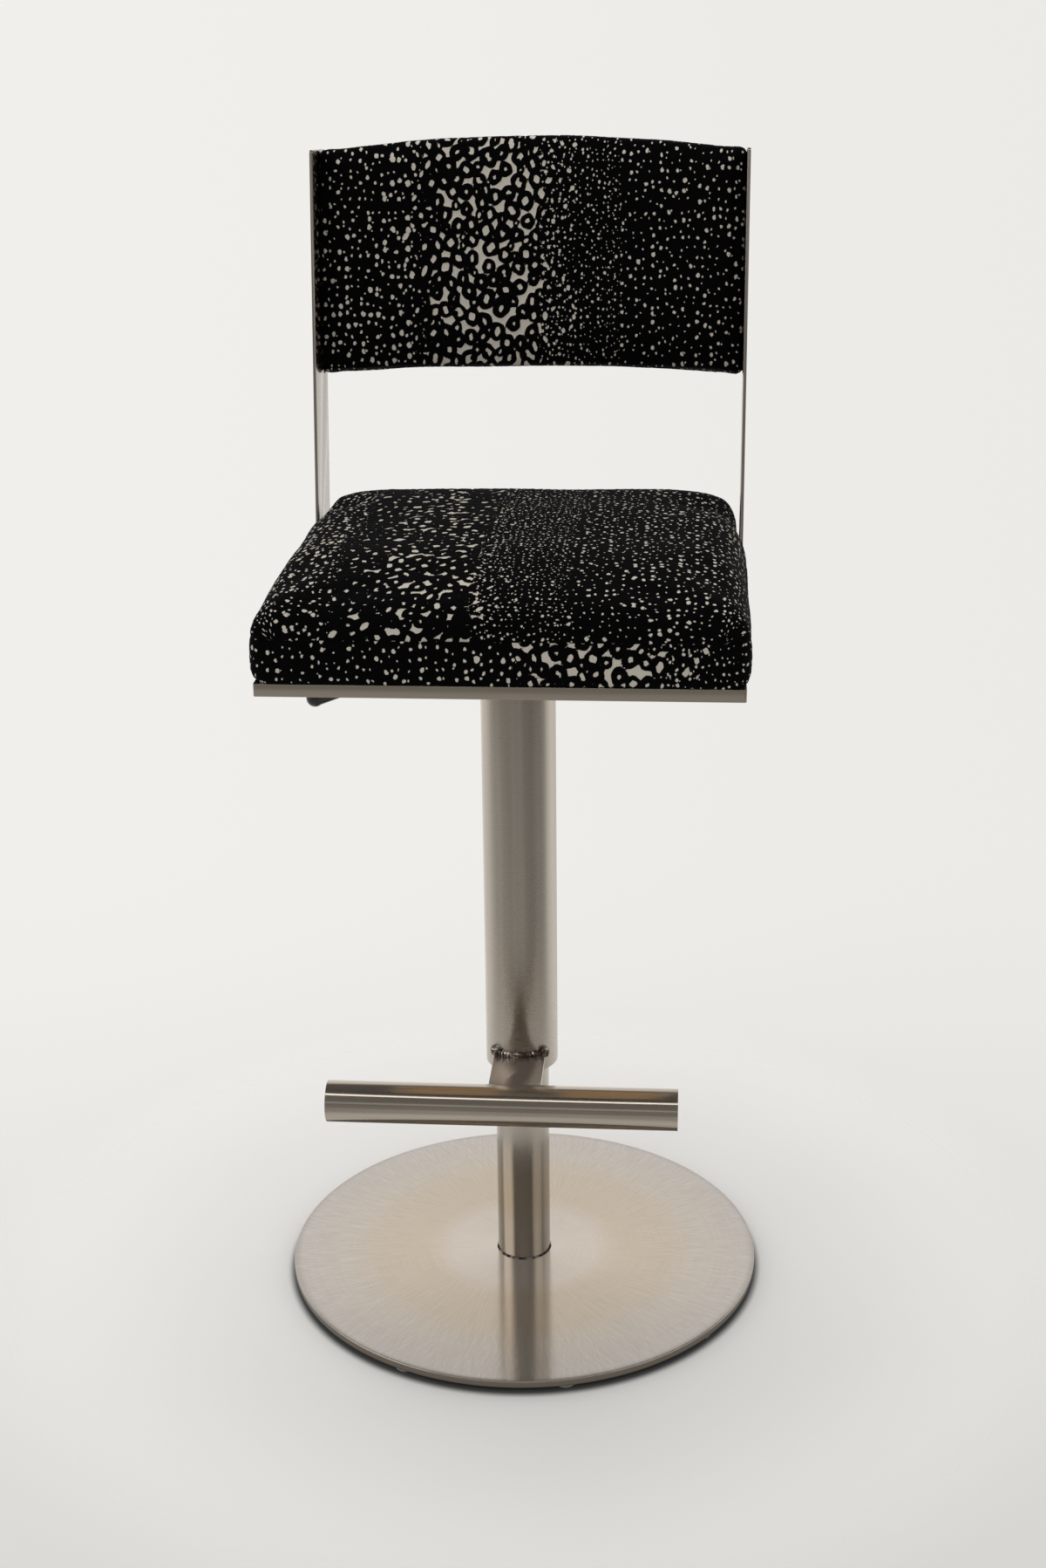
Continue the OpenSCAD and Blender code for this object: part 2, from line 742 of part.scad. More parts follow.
// The curved panel, grown by extra and then also open at its ends
module panel_shape(extra) {
    h = back_h - 2 * panel_inset + 2 * extra;
    w = 2 * back_a + (extra > 0 ? 10 : 0);
    translate([0, -back_curve_r, -h / 2]) intersection() {
        difference() {
            cylinder(h = h, r = back_curve_r + panel_t / 2 + extra, $fn = 240);
            translate([0, 0, -1]) cylinder(h = h + 2, r = back_curve_r - panel_t / 2 - extra, $fn = 240);
        }
        translate([-w / 2, 0, -1]) cube([w, 2 * back_curve_r, h + 2]);
    }
}

module back_panel() {
    color(wood) difference() {
        on_back() panel_shape(0);
        for (side = [-1, 1]) back_screw_pair(side, fit);
    }
}

// Lift that keeps the leaned pad's middle as high as its ends
function level(x) = (bend(back_a) - bend(x)) * lean_tan;

// One ring of the pad: drawn in by inset, y behind the panel's middle, at the share s of its outline
function back_ring(inset, y, s = 1) =
    let (a = back_a - inset, b = back_h / 2 - inset)
    [for (p = outline(a * s, b * s, dome_r(b, back_r, s)))
        let (share = max(0, p[1] / b), rise = back_arch * (1 - pow(p[0] / back_a, 2)) * share)
        [p[0], y - bend(p[0]), p[1] + rise + level(p[0])]];

module back_cushion() {
    front = -panel_t / 2 - pad_front_edge;
    rear = panel_t / 2 + pad_rear_edge;
    front_rise = pad_front_mid - pad_front_edge;
    rear_rise = pad_rear_mid - pad_rear_edge;
    n = len(dome_steps);
    rings = concat(
        [for (i = [n - 1 : -1 : 0]) back_ring(2, front - dome(dome_steps[i], front_rise), dome_steps[i])],
        [for (t = [[2, 0], [0.5, 0.14], [0, 0.4], [0, 0.7], [0.5, 0.9], [2, 1]])
            back_ring(t[0], front + t[1] * (rear - front))],
        [for (s = dome_steps) back_ring(2, rear + dome(s, rear_rise), s)]);
    points = concat([for (r = rings, p = r) p],
        [[0, front - front_rise, level(0)], [0, rear + rear_rise, level(0)]]);
    color(fabric) difference() {
        on_back() polyhedron(points, skin_faces(len(rings)));
        on_back() panel_shape(gap);
        for (side = [-1, 1]) back_screw_pair(side, gap);
    }
}

// Two countersunk screws through a post into the panel's end, aimed to stay inside the curve
module back_screw_pair(side, extra) {
    head_h = (back_screw_head_d - back_screw_d) / 2;
    aim = back_screw_bite * back_a / back_curve_r / 2;
    on_posts() for (s = [-1, 1])
        translate([side * (outer_x + (extra > 0 ? eps : 0)), panel_y + aim, s * back_screw_gap / 2])
        rotate([0, -side * 90, 0]) {
            cylinder(h = head_h, r1 = back_screw_head_d / 2 + extra, r2 = back_screw_d / 2 + extra);
            cylinder(h = post_t + gap + back_screw_bite + extra, r = back_screw_d / 2 + extra);
        }
}

module back_screws() {
    color(steel) for (side = [-1, 1]) back_screw_pair(side, 0);
}

// Footrest

module footrest_bracket() {
    color(dark_steel) difference() {
        translate([-bracket_w / 2, -foot_reach, bracket_z]) cube([bracket_w, foot_reach, bracket_t]);
        cylinder(h = seat_z, r = sleeve_d / 2 + fit);
        foot_bar(foot_d / 2 + fit, foot_len);
    }
}

// The bead over the bracket where it meets the seat tube
module bracket_weld() {
    color(weld_grey) intersection() {
        fillet_ring(sleeve_d / 2 + fit, bracket_z + bracket_t, bracket_weld_leg, bracket_weld_leg);
        translate([-bracket_w / 2, -sleeve_d, bracket_z]) cube([bracket_w, sleeve_d, 2 * bracket_t]);
    }
}

// A solid bar where the footrest tube lies
module foot_bar(r, len) {
    translate([-foot_shift - len / 2, -foot_reach, foot_z]) rotate([0, 90, 0]) cylinder(h = len, r = r);
}

module footrest_tube() {
    color(steel) difference() {
        foot_bar(foot_d / 2, foot_len);
        foot_bar(foot_d / 2 - foot_wall, foot_len + 2);
    }
}

// How far the footrest tube's skin lies from the plane of its axis at the height z over it
function foot_skin(z) = sqrt(pow(foot_d / 2, 2) - z * z);

// Beads over and under the bracket where it meets the footrest tube
module footrest_welds() {
    low = bracket_t / 2;
    high = low + bracket_weld_leg;
    color(weld_grey) for (flip = [0, 1]) difference() {
        translate([-bracket_w / 2, -foot_reach, foot_z]) mirror([0, 0, flip])
            rotate([90, 0, 90]) linear_extrude(bracket_w)
            polygon([[foot_skin(high), low], [foot_skin(low) + bracket_weld_leg, low],
                     [foot_skin(high), high]]);
        foot_bar(foot_d / 2 + fit, foot_len);
    }
}

module footrest_end_discs() {
    color(steel) for (x = [-foot_shift - foot_len / 2, -foot_shift + foot_len / 2 - foot_cap_t])
        translate([x, -foot_reach, foot_z]) rotate([0, 90, 0])
            cylinder(h = foot_cap_t, r = foot_d / 2 - foot_wall - fit);
}

// Lever

// Two ears on the socket's flange
module lever_ears() {
    ear_h = pivot_up + pivot_d;
    ear_w = pivot_d + 7;
    color(dark_steel) difference() {
        for (y = [lever_w / 2 + gap, -lever_w / 2 - gap - ear_t])
            translate([-pivot_x - ear_w / 2, y, hub_top]) cube([ear_w, ear_t, ear_h]);
        pivot_hole(fit / 2);
    }
}

module pivot_hole(extra) {
    len = lever_w + 2 * gap + 2 * ear_t + 4;
    translate([-pivot_x, len / 2, lever_z]) rotate([90, 0, 0]) cylinder(h = len, r = pivot_d / 2 + extra);
}

module pivot_pin() {
    len = lever_w + 2 * gap + 2 * ear_t + 2;
    color(chrome) translate([-pivot_x, len / 2, lever_z]) rotate([90, 0, 0]) cylinder(h = len, d = pivot_d);
}

// Boss on the pivot, tongue over the release pin and rod out to the grip
module lever_arm() {
    boss_r = pivot_d / 2 + 2.5;
    color(dark_steel) difference() {
        union() {
            translate([-pivot_x, lever_w / 2, lever_z]) rotate([90, 0, 0]) cylinder(h = lever_w, r = boss_r);
            translate([-pivot_x, -lever_w / 2, tongue_z]) cube([pivot_x + pin_d / 2, lever_w, tongue_t]);
            translate([-pivot_x, 0, lever_z]) rotate([0, -90 - lever_fall, 0])
                cylinder(h = lever_len - (grip_len - rod_in_grip), d = lever_d);
        }
        pivot_hole(fit);
    }
}

// Pear-shaped knob on the rod's end
module lever_grip() {
    k = grip_d / 2;
    n = grip_neck_d / 2;
    color(black_plastic) translate([-pivot_x, 0, lever_z]) rotate([0, -90 - lever_fall, 0])
        translate([0, 0, lever_len - grip_len]) difference() {
            union() {
                cylinder(h = grip_len - k, r1 = n, r2 = k * 0.94);
                translate([0, 0, grip_len - k]) sphere(r = k);
            }
            translate([0, 0, -1]) cylinder(h = rod_in_grip + 1 + gap, r = lever_d / 2 + fit);
        }
}

base_plate();
glide_discs();
glides();
base_column();
column_weld();
cylinder_seat();
stand_tube();
column_collar();
guide_bush();
bearing_plate();
lower_race();
ball_cage();
bearing_balls();
upper_race();
rod_buffer();
rod_clip();
piston_rod();
piston();
piston_ring();
pressure_tube();
rod_guide();
valve_body();
release_pin();
taper_socket();
seat_tube();
seat_tube_weld();
seat_strap();
corner_tabs();
frame_front_bar();
frame_rear_bar();
frame_right_bar();
frame_left_bar();
board_screws();
seat_board();
seat_cushion();
right_post();
left_post();
post_welds();
back_panel();
back_cushion();
back_screws();
footrest_bracket();
bracket_weld();
footrest_tube();
footrest_welds();
footrest_end_discs();
lever_ears();
pivot_pin();
lever_arm();
lever_grip();
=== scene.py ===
# Bar stool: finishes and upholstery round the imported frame. Metres, +Z up, the sitter faces -Y.
import json
import math

import bmesh
import bpy
import numpy as np
from mathutils import Matrix, Vector, kdtree, noise

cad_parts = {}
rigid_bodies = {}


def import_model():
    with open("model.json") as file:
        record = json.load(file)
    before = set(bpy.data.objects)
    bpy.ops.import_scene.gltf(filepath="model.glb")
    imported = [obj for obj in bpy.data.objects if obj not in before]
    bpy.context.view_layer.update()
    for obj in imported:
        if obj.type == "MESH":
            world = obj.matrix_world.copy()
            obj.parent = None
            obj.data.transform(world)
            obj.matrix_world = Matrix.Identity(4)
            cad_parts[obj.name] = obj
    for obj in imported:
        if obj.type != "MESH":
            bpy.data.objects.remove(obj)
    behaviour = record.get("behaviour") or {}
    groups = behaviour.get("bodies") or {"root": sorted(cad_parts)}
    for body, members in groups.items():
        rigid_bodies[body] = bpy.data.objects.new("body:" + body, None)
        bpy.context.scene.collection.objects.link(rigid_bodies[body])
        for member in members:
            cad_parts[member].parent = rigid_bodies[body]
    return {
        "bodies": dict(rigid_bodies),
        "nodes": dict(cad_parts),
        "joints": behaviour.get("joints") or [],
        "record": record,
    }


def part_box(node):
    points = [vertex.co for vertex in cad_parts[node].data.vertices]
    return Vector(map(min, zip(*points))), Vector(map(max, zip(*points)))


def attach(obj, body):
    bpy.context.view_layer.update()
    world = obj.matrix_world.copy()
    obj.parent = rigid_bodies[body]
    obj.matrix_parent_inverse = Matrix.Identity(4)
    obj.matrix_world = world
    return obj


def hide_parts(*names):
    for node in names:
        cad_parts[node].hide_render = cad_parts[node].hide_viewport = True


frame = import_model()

scene = bpy.context.scene
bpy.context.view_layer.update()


def objectOf(name, data):
    made = bpy.data.objects.new(name, data)
    scene.collection.objects.link(made)
    return made


# Camera

cameraView = {
    "place": (0.16717, -2.0988, 1.3154),
    "right": (0.99722123, 0.07379205, -0.01022538),
    "up": (-0.01556139, 0.3405645, 0.94009237),
    "lens": 50.14,
    "film": 36.0,
}


def makeCamera(view):
    data = bpy.data.cameras.new("camera")
    data.lens = view["lens"]
    data.sensor_width = view["film"]
    camera = objectOf("camera", data)
    right, up = Vector(view["right"]), Vector(view["up"])
    turn = Matrix((right, up, right.cross(up))).transposed().to_4x4()
    camera.matrix_world = Matrix.Translation(view["place"]) @ turn
    scene.camera = camera


makeCamera(cameraView)
print("camera placed")

# Node trees: sums on sockets are written as plain expressions


class Wire:
    def __init__(self, sheet, socket):
        self.sheet = sheet
        self.socket = socket

    def out(self, name):
        return Wire(self.sheet, self.socket.node.outputs[name])

    def __abs__(self):
        return self.sheet.maths("ABSOLUTE", self)


def sumOf(operation, turned=False):
    return lambda wire, other: wire.sheet.maths(operation, *((other, wire) if turned else (wire, other)))


for sign, operation in (("add", "ADD"), ("sub", "SUBTRACT"), ("mul", "MULTIPLY"), ("truediv", "DIVIDE")):
    setattr(Wire, f"__{sign}__", sumOf(operation))
    setattr(Wire, f"__r{sign}__", sumOf(operation, turned=True))


class Sheet:
    def __init__(self, tree):
        self.tree = tree

    # any node: its type, what its sockets get, its settings, and the output that is wanted
    def node(self, kind, inputs=None, settings=None, output=0):
        made = self.tree.nodes.new(kind)
        for key, value in (settings or {}).items():
            if key == "stops":
                ramp = made.color_ramp
                while len(ramp.elements) < len(value):
                    ramp.elements.new(0.5)
                for element, (at, colour) in zip(ramp.elements, value):
                    element.position = at
                    element.color = (*colour, 1.0)
            else:
                setattr(made, key, value)
        for key, value in (inputs or {}).items():
            socket = made.inputs[key]
            if isinstance(value, Wire):
                self.tree.links.new(value.socket, socket)
            elif value is not None:
                socket.default_value = value
        return Wire(self, made.outputs[output]) if len(made.outputs) else made

    def maths(self, operation, a, b=None):
        return self.node("ShaderNodeMath", {0: a, 1: b}, {"operation": operation})

    def vector(self, x, y, z=0.0):
        return self.node("ShaderNodeCombineXYZ", {0: x, 1: y, 2: z})

    def parts(self, wire):
        split = self.node("ShaderNodeSeparateXYZ", {0: wire})
        return split, split.out("Y"), split.out("Z")

    # 0 below low, 1 above high, smooth between
    def step(self, value, low, high):
        return self.node("ShaderNodeMapRange", {"Value": value, "From Min": low, "From Max": high},
                         {"interpolation_type": "SMOOTHSTEP"})

    def ramp(self, value, stops):
        return self.node("ShaderNodeValToRGB", {0: value}, {"stops": stops})

    def mix(self, share, a, b, kind="MIX"):
        a, b = (c if isinstance(c, Wire) else (*c, 1.0) for c in (a, b))
        return self.node("ShaderNodeMix", {0: share, 6: a, 7: b}, {"data_type": "RGBA", "blend_type": kind}, output=2)

    def noise(self, at, scale, detail=2.0, rough=0.5):
        return self.node("ShaderNodeTexNoise", {"Vector": at, "Scale": scale, "Detail": detail, "Roughness": rough})


class Finish(Sheet):
    def __init__(self, name):
        self.material = bpy.data.materials.new(name)
        self.material.use_nodes = True
        super().__init__(self.material.node_tree)
        self.tree.nodes.clear()
        self.place = self.node("ShaderNodeTexCoord", output="Object")

    def bump(self, height, distance, strength=1.0):
        return self.node("ShaderNodeBump", {"Height": height, "Distance": distance, "Strength": strength})

    def surface(self, **sockets):
        inputs = {key.replace("_", " "): value for key, value in sockets.items()}
        shader = self.node("ShaderNodeBsdfPrincipled", inputs)
        self.node("ShaderNodeOutputMaterial", {"Surface": shader})
        return self.material


def rgb(red, green, blue):
    share = [c / 255 for c in (red, green, blue)]
    return tuple(c / 12.92 if c <= 0.04045 else ((c + 0.055) / 1.055) ** 2.4 for c in share)


def toned(colour, share, lift=0.0):
    return tuple(min(1.0, c * share + lift) for c in colour)


# Stainless steel. The tubes and the disc are polished round their axes, so their scratches run round as well
def brushedSteel(name, colour, along, rough, streak, anisotropic, rotation=0.0, axis=(0.0, 0.0), metal=1.0):
    f = Finish(name)
    x, y, z = f.parts(f.place)
    if along in ("roundZ", "roundX"):
        a, b, length, pitch = (y, x, z, 3.0) if along == "roundZ" else (y - axis[0], z - axis[1], x, 4.0)
        turn = f.maths("ARCTAN2", a, b)
        grain, broad = f.vector(turn * 4.0, length * 1500.0), f.vector(turn * 5.0, length * pitch)
    else:
        across = [c * (14.0 if letter == along else 900.0) for c, letter in zip((x, y, z), "xyz")]
        grain, broad = f.vector(*across), f.vector(*[a * 0.06 for a in across])
    lines = f.noise(grain, 1.0, 3.0, 0.6)
    patches = f.noise(broad, 1.0, 3.0)
    scuffs = f.noise(f.place, 24.0, 4.0, 0.65)
    tone = (lines - 0.5) * (2 * streak) + (patches - 0.5) * 0.30 + (scuffs - 0.5) * 0.05
    return f.surface(Base_Color=f.mix(tone + 0.5, toned(colour, 0.66), toned(colour, 1.34)), Metallic=metal,
                     Roughness=rough + (lines - 0.5) * 0.10 + (scuffs - 0.5) * 0.06, Anisotropic=anisotropic,
                     Anisotropic_Rotation=rotation, Normal=f.bump(lines, 0.00001, 0.4))


# The disc: rings of slightly different tone left by the grinder, crossed by short curved streaks
def turnedDisc(name, radius, rough):
    f = Finish(name)
    x, y, z = f.parts(f.place)
    out = f.maths("SQRT", x * x + y * y)
    turn = f.maths("ARCTAN2", y, x)
    wobble = f.noise(f.vector(out * 60.0, turn * 0.6), 1.0, 3.0)
    share = out / radius + (wobble - 0.5) * 0.05
    paint = f.ramp(share, [(0.10, rgb(208, 200, 191)), (0.30, rgb(206, 198, 188)), (0.42, rgb(199, 187, 171)),
                           (0.62, rgb(197, 186, 171)), (0.78, rgb(196, 189, 180)), (0.97, rgb(193, 188, 183)),
                           (1.0, rgb(176, 170, 164))])
    rings = f.noise(f.vector(out * 1400.0, turn * 2.0), 1.0, 2.0)
    swirl = f.noise(f.vector(turn * 84.0 + out * 60.0, out * 34.0), 1.0, 4.0, 0.7)
    cross = f.noise(f.vector(turn * 96.0 - out * 100.0, out * 24.0, 7.0), 1.0, 4.0, 0.7)
    tone = (rings - 0.5) * 0.30 + (swirl - 0.5) * 0.60 * f.step(share, 0.25, 0.8) + (cross - 0.5) * 0.45
    paint = f.mix(abs(tone), paint, f.mix(f.step(tone, -0.01, 0.01), rgb(128, 120, 112), rgb(246, 243, 238)))
    paint = f.mix(f.step(z, 0.0073, 0.0066), paint, rgb(118, 110, 100))  # painted reflection: the turned edge is painted darker, for the dim room in front that it mirrors
    return f.surface(Base_Color=paint, Metallic=0.86, Roughness=rough + (swirl - 0.5) * 0.10 + (rings - 0.5) * 0.06,
                     Anisotropic=0.8, Anisotropic_Rotation=0.25, Normal=f.bump(rings, 0.000004, 0.3))


def weldSteel(name, bright):
    f = Finish(name)
    heat = f.noise(f.place, 180.0, 3.0)
    stops = [(0.36, (0.07, 0.055, 0.045)), (0.50, (0.26, 0.22, 0.19)), (0.62, (0.85, 0.81, 0.76))]
    paint = f.ramp(heat, [(at, toned(colour, bright)) for at, colour in stops])
    return f.surface(Base_Color=paint, Metallic=1.0, Roughness=0.1 + heat * 0.16,
                     Normal=f.bump(f.noise(f.place, 700.0, 3.0), 0.0002, 0.6))


def millSteel(name, colour, rough):
    f = Finish(name)
    cloud = f.noise(f.place, 60.0, 5.0, 0.6)
    return f.surface(Base_Color=f.mix(cloud, toned(colour, 0.6), toned(colour, 1.25)), Metallic=1.0,
                     Roughness=rough + (cloud - 0.5) * 0.25,
                     Normal=f.bump(f.noise(f.place, 900.0, 2.0), 0.00005, 0.5))


def polishedSteel(name, colour, rough):
    f = Finish(name)
    film = f.noise(f.place, 90.0, 3.0)
    return f.surface(Base_Color=f.mix(film, toned(colour, 0.9), colour), Metallic=1.0,
                     Roughness=rough + (film - 0.5) * 0.08)


def mouldedPlastic(name, colour, rough, grain=0.00008):
    f = Finish(name)
    wear = f.noise(f.place, 45.0, 4.0)
    return f.surface(Base_Color=f.mix(wear, toned(colour, 0.8), toned(colour, 1.3, 0.003)),
                     Roughness=rough + (wear - 0.5) * 0.16,
                     Normal=f.bump(f.noise(f.place, 1600.0, 2.0), grain, 0.5))


def clearPlastic(name):
    f = Finish(name)
    haze = f.noise(f.place, 300.0, 2.0)
    return f.surface(Base_Color=f.mix(haze, (0.78, 0.78, 0.75), (0.88, 0.88, 0.86)), Roughness=0.12 + haze * 0.12,
                     Transmission_Weight=0.7, IOR=1.49)


def plywoodFinish(name):
    f = Finish(name)
    x, y, z = f.parts(f.place)
    figure = f.noise(f.vector(x * 18.0, y * 3.0, z * 18.0), 1.0, 4.0, 0.6)
    pores = f.noise(f.vector(x * 900.0, y * 60.0, z * 900.0), 1.0, 2.0)
    plies = f.maths("SINE", z * (2 * math.pi / 0.0028))
    face = f.ramp(figure, [(0.25, rgb(176, 138, 96)), (0.5, rgb(206, 172, 128)), (0.75, rgb(190, 150, 106))])
    paint = f.mix(f.step(pores, 0.62, 0.75) * 0.35 + f.step(plies, 0.2, 0.9) * 0.12, face, rgb(120, 84, 52))
    return f.surface(Base_Color=paint, Roughness=0.62 + (pores - 0.5) * 0.1, Normal=f.bump(pores, 0.0001, 0.4))


# Fabric: a black cut pile on a pale ribbed ground. The pads' meshes carry two attributes, in metres. "cloth" holds
# the place along and up the cloth and how far off the rings' holes are, and "dots" the half widths of coarse and fine
# dots and the depth inside the rings' outlines
fabricLook = {
    "pile": rgb(2, 2, 3), "pileWorn": rgb(11, 10, 12),
    "ground": rgb(186, 181, 171), "groundWarm": rgb(194, 186, 172), "groundDeep": rgb(118, 112, 103),
    "rib": 0.0011, "fray": 0.0007, "edge": 0.00022, "coarse": 0.0082, "fine": 0.0060, "tall": 1.2, "warp": 0.0030,
    "shut": 0.0015,
}


def printedPile(name, look):
    f = Finish(name)
    u, v, hole = f.parts(f.node("ShaderNodeAttribute", None, {"attribute_name": "cloth"}, "Vector"))
    coarse, fine, outline = f.parts(f.node("ShaderNodeAttribute", None, {"attribute_name": "dots"}, "Vector"))
    tuft = f.noise(f.place, 1500.0, 2.0, 0.6)
    warp = f.noise(f.vector(u, v), 240.0, 1.0)
    drift = f.noise(f.vector(u, v, 3.0), 220.0, 1.0)
    place = f.vector(u + (warp - 0.5) * look["warp"], (v + (drift - 0.5) * look["warp"]) / look["tall"])
    depth = f.maths("MINIMUM", hole, outline)
    for size, pitch in ((coarse, look["coarse"]), (fine, look["fine"])):
        spot = f.node("ShaderNodeTexVoronoi", {"Vector": place, "Scale": 1 / pitch, "Randomness": 0.8},
                      {"voronoi_dimensions": "2D"})
        luck = f.parts(spot.out("Color"))[0]
        shut = (1 - f.step(size, 0.0001, 0.0006)) * look["shut"]
        depth = f.maths("MINIMUM", depth, spot * pitch - size * (luck * luck + 0.55) + shut)
    pile = f.step(depth + (tuft - 0.5) * look["fray"], -look["edge"], look["edge"])
    rib = f.maths("SINE", u * (2 * math.pi / look["rib"])) * 0.5 + 0.5
    thread = f.noise(f.vector(u * 2200.0, v * 500.0), 1.0, 2.0)
    shade = f.noise(f.place, 55.0, 3.0)
    ground = f.mix(shade, look["ground"], look["groundWarm"])
    ground = f.mix(rib * 0.26 + thread * 0.2, ground, look["groundDeep"])
    nap = f.mix(f.step(tuft, 0.35, 0.75) * 0.5 + shade * 0.3, look["pile"], look["pileWorn"])
    relief = pile * (0.7 + tuft * 0.3) + (1 - pile) * (rib * 0.14 + thread * 0.1)
    return f.surface(Base_Color=f.mix(pile, ground, nap), Roughness=0.92 + (tuft - 0.5) * 0.1,
                     Specular_IOR_Level=0.03, Sheen_Weight=0.014, Sheen_Roughness=0.4,
                     Sheen_Tint=(0.9, 0.88, 0.9, 1.0), Normal=f.bump(relief, 0.0006, 0.7))


finishes = {
    "disc_steel": turnedDisc("steelDisc", 0.254, 0.17),
    "column_steel": brushedSteel("steelColumn", rgb(180, 173, 164), "roundZ", 0.16, 0.12, 0.6, 0.25),
    "tube_steel": brushedSteel("steelTube", rgb(184, 177, 167), "roundZ", 0.28, 0.10, 0.8, 0.25),
    "frame_steel": brushedSteel("steelFrame", rgb(180, 171, 158), "x", 0.30, 0.14, 0.2),
    "side_steel": brushedSteel("steelSide", rgb(180, 171, 158), "y", 0.30, 0.14, 0.2),
    "post_steel": brushedSteel("steelPost", rgb(184, 177, 168), "z", 0.17, 0.10, 0.0),
    "bracket_steel": brushedSteel("steelBracket", rgb(172, 162, 155), "y", 0.22, 0.14, 0.2, metal=0.9),
    "footrest_steel": brushedSteel("steelFootrest", rgb(184, 175, 163), "roundX", 0.13, 0.10, 0.0,
                                   axis=(-0.1415, 0.258), metal=0.93),
    "weld_bead": weldSteel("weldBead", 0.7),
    # darker at the column's foot: the weld's own oxide plus painted shade in the crease between column and disc
    "foot_bead": weldSteel("weldFoot", 0.45),
    "plain_steel": millSteel("steelPlain", rgb(150, 147, 142), 0.4),
    "lever_steel": millSteel("steelLever", rgb(120, 118, 114), 0.35),
    "rod_chrome": polishedSteel("chromeRod", rgb(226, 226, 230), 0.08),
    "bearing_steel": polishedSteel("bearingSteel", rgb(212, 212, 216), 0.1),
    "screw_steel": polishedSteel("zincScrew", rgb(196, 194, 190), 0.28),
    "nylon": mouldedPlastic("blackNylon", (0.030, 0.030, 0.033), 0.5),
    "buffer_rubber": mouldedPlastic("bufferRubber", (0.018, 0.018, 0.018), 0.75, 0.00015),
    "grip_plastic": mouldedPlastic("gripPlastic", (0.014, 0.014, 0.015), 0.3),
    "glide_black": mouldedPlastic("glideBlack", (0.015, 0.015, 0.015), 0.5),
    "glide_clear": clearPlastic("glideClear"),
    "plywood": plywoodFinish("birchPlywood"),
    "seat_fabric": printedPile("seatPile", fabricLook),
    "back_fabric": printedPile("backPile", fabricLook),
}
print("finishes made")

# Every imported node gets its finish. Those with a richer piece are hidden further down.
slotOf = {part["node"]: part["material_slot"] for part in frame["record"]["subparts"]}
bodyOf = {node: body for body, nodes in frame["record"]["behaviour"]["bodies"].items() for node in nodes}
for node, piece in frame["nodes"].items():
    piece.data.materials.clear()
    piece.data.materials.append(finishes[slotOf[node]])

# Mesh helpers


def newPiece(name, mesh, node, finish=None):
    piece = objectOf(name, mesh)
    if not mesh.materials:
        mesh.materials.append(finish or finishes[slotOf[node]])
    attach(piece, bodyOf[node])
    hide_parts(node)
    return piece


def meshOf(name, bm, smooth=True):
    mesh = bpy.data.meshes.new(name)
    bm.normal_update()
    bm.to_mesh(mesh)
    bm.free()
    for face in mesh.polygons:
        face.use_smooth = smooth
    return mesh


def sharpen(mesh, degrees=32.0):
    mesh.set_sharp_from_angle(angle=math.radians(degrees))


# A turned shape from a closed or pole-to-pole profile of (radius, height)
def turned(name, profile, steps=160, closed=False):
    bm = bmesh.new()
    rings = []
    for radius, z in profile:
        count = steps if radius > 0 else 1
        angles = [2 * math.pi * i / steps for i in range(count)]
        ring = [bm.verts.new((radius * math.cos(angle), radius * math.sin(angle), z)) for angle in angles]
        rings.append(ring * (steps // count))
    for low, high in zip(rings, rings[1:] + rings[:closed]):
        for i in range(steps):
            n = (i + 1) % steps
            bm.faces.new(tuple(dict.fromkeys((low[i], low[n], high[n], high[i]))))  # a pole leaves three corners
    bmesh.ops.recalc_face_normals(bm, faces=bm.faces)
    mesh = meshOf(name, bm)
    sharpen(mesh)
    return mesh


# Profile corners rounded with a few points each
def eased(points, radius, steps=4, closed=True):
    out = []
    count = len(points)
    for i, p in enumerate(points):
        if not closed and i in (0, count - 1):
            out.append(p)
            continue
        before, here, after = Vector(points[i - 1]), Vector(p), Vector(points[(i + 1) % count])
        a = here + (before - here).normalized() * radius
        b = here + (after - here).normalized() * radius
        for k in range(steps + 1):
            t = k / steps
            q = a * (1 - t) ** 2 + here * (2 * t * (1 - t)) + b * t * t
            out.append((q.x, q.y))
    return out


def evaluated(piece, name):
    graph = bpy.context.evaluated_depsgraph_get()
    mesh = bpy.data.meshes.new_from_object(piece.evaluated_get(graph))
    mesh.name = name
    return mesh


# A mesh as one modifier leaves it
def modified(name, mesh, kind, settings, inputs=()):
    work = objectOf("work", mesh)
    modifier = work.modifiers.new("work", kind)
    for key, value in settings.items():
        setattr(modifier, key, value)
    for key, value in inputs:
        modifier[key] = value
    done = evaluated(work, name)
    bpy.data.objects.remove(work)
    return done


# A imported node's own shape, merged, with its edges broken
def softened(node, width, segments=2, angle=30.0, finish=None):
    bm = bmesh.new()
    bm.from_mesh(frame["nodes"][node].data)
    bmesh.ops.remove_doubles(bm, verts=bm.verts, dist=1e-6)
    bmesh.ops.dissolve_limit(bm, angle_limit=math.radians(0.5), verts=bm.verts, edges=bm.edges)
    done = modified(node + "Piece", meshOf(node + "Soft", bm), "BEVEL", {
        "width": width, "segments": segments, "limit_method": "ANGLE", "angle_limit": math.radians(angle),
        "harden_normals": True})
    done.materials.clear()
    newPiece("made_" + node, done, node, finish)


# Base and tubes

discLook = {"flat": 0.004, "edge": 0.0012, "easeSteps": 5, "steps": 256}
columnLook = {"wall": 0.002, "edge": 0.0004, "easeSteps": 3, "steps": 160}
seatTubeLook = {"wall": 0.0024, "edge": 0.0008, "easeSteps": 4, "steps": 192}
slotLook = {"low": 0.6855, "high": 0.704, "width": 0.014, "middle": -0.045, "deep": 0.05}  # for the lever
footrestLook = {"wall": 0.002, "edge": 0.0005, "easeSteps": 3, "steps": 160}


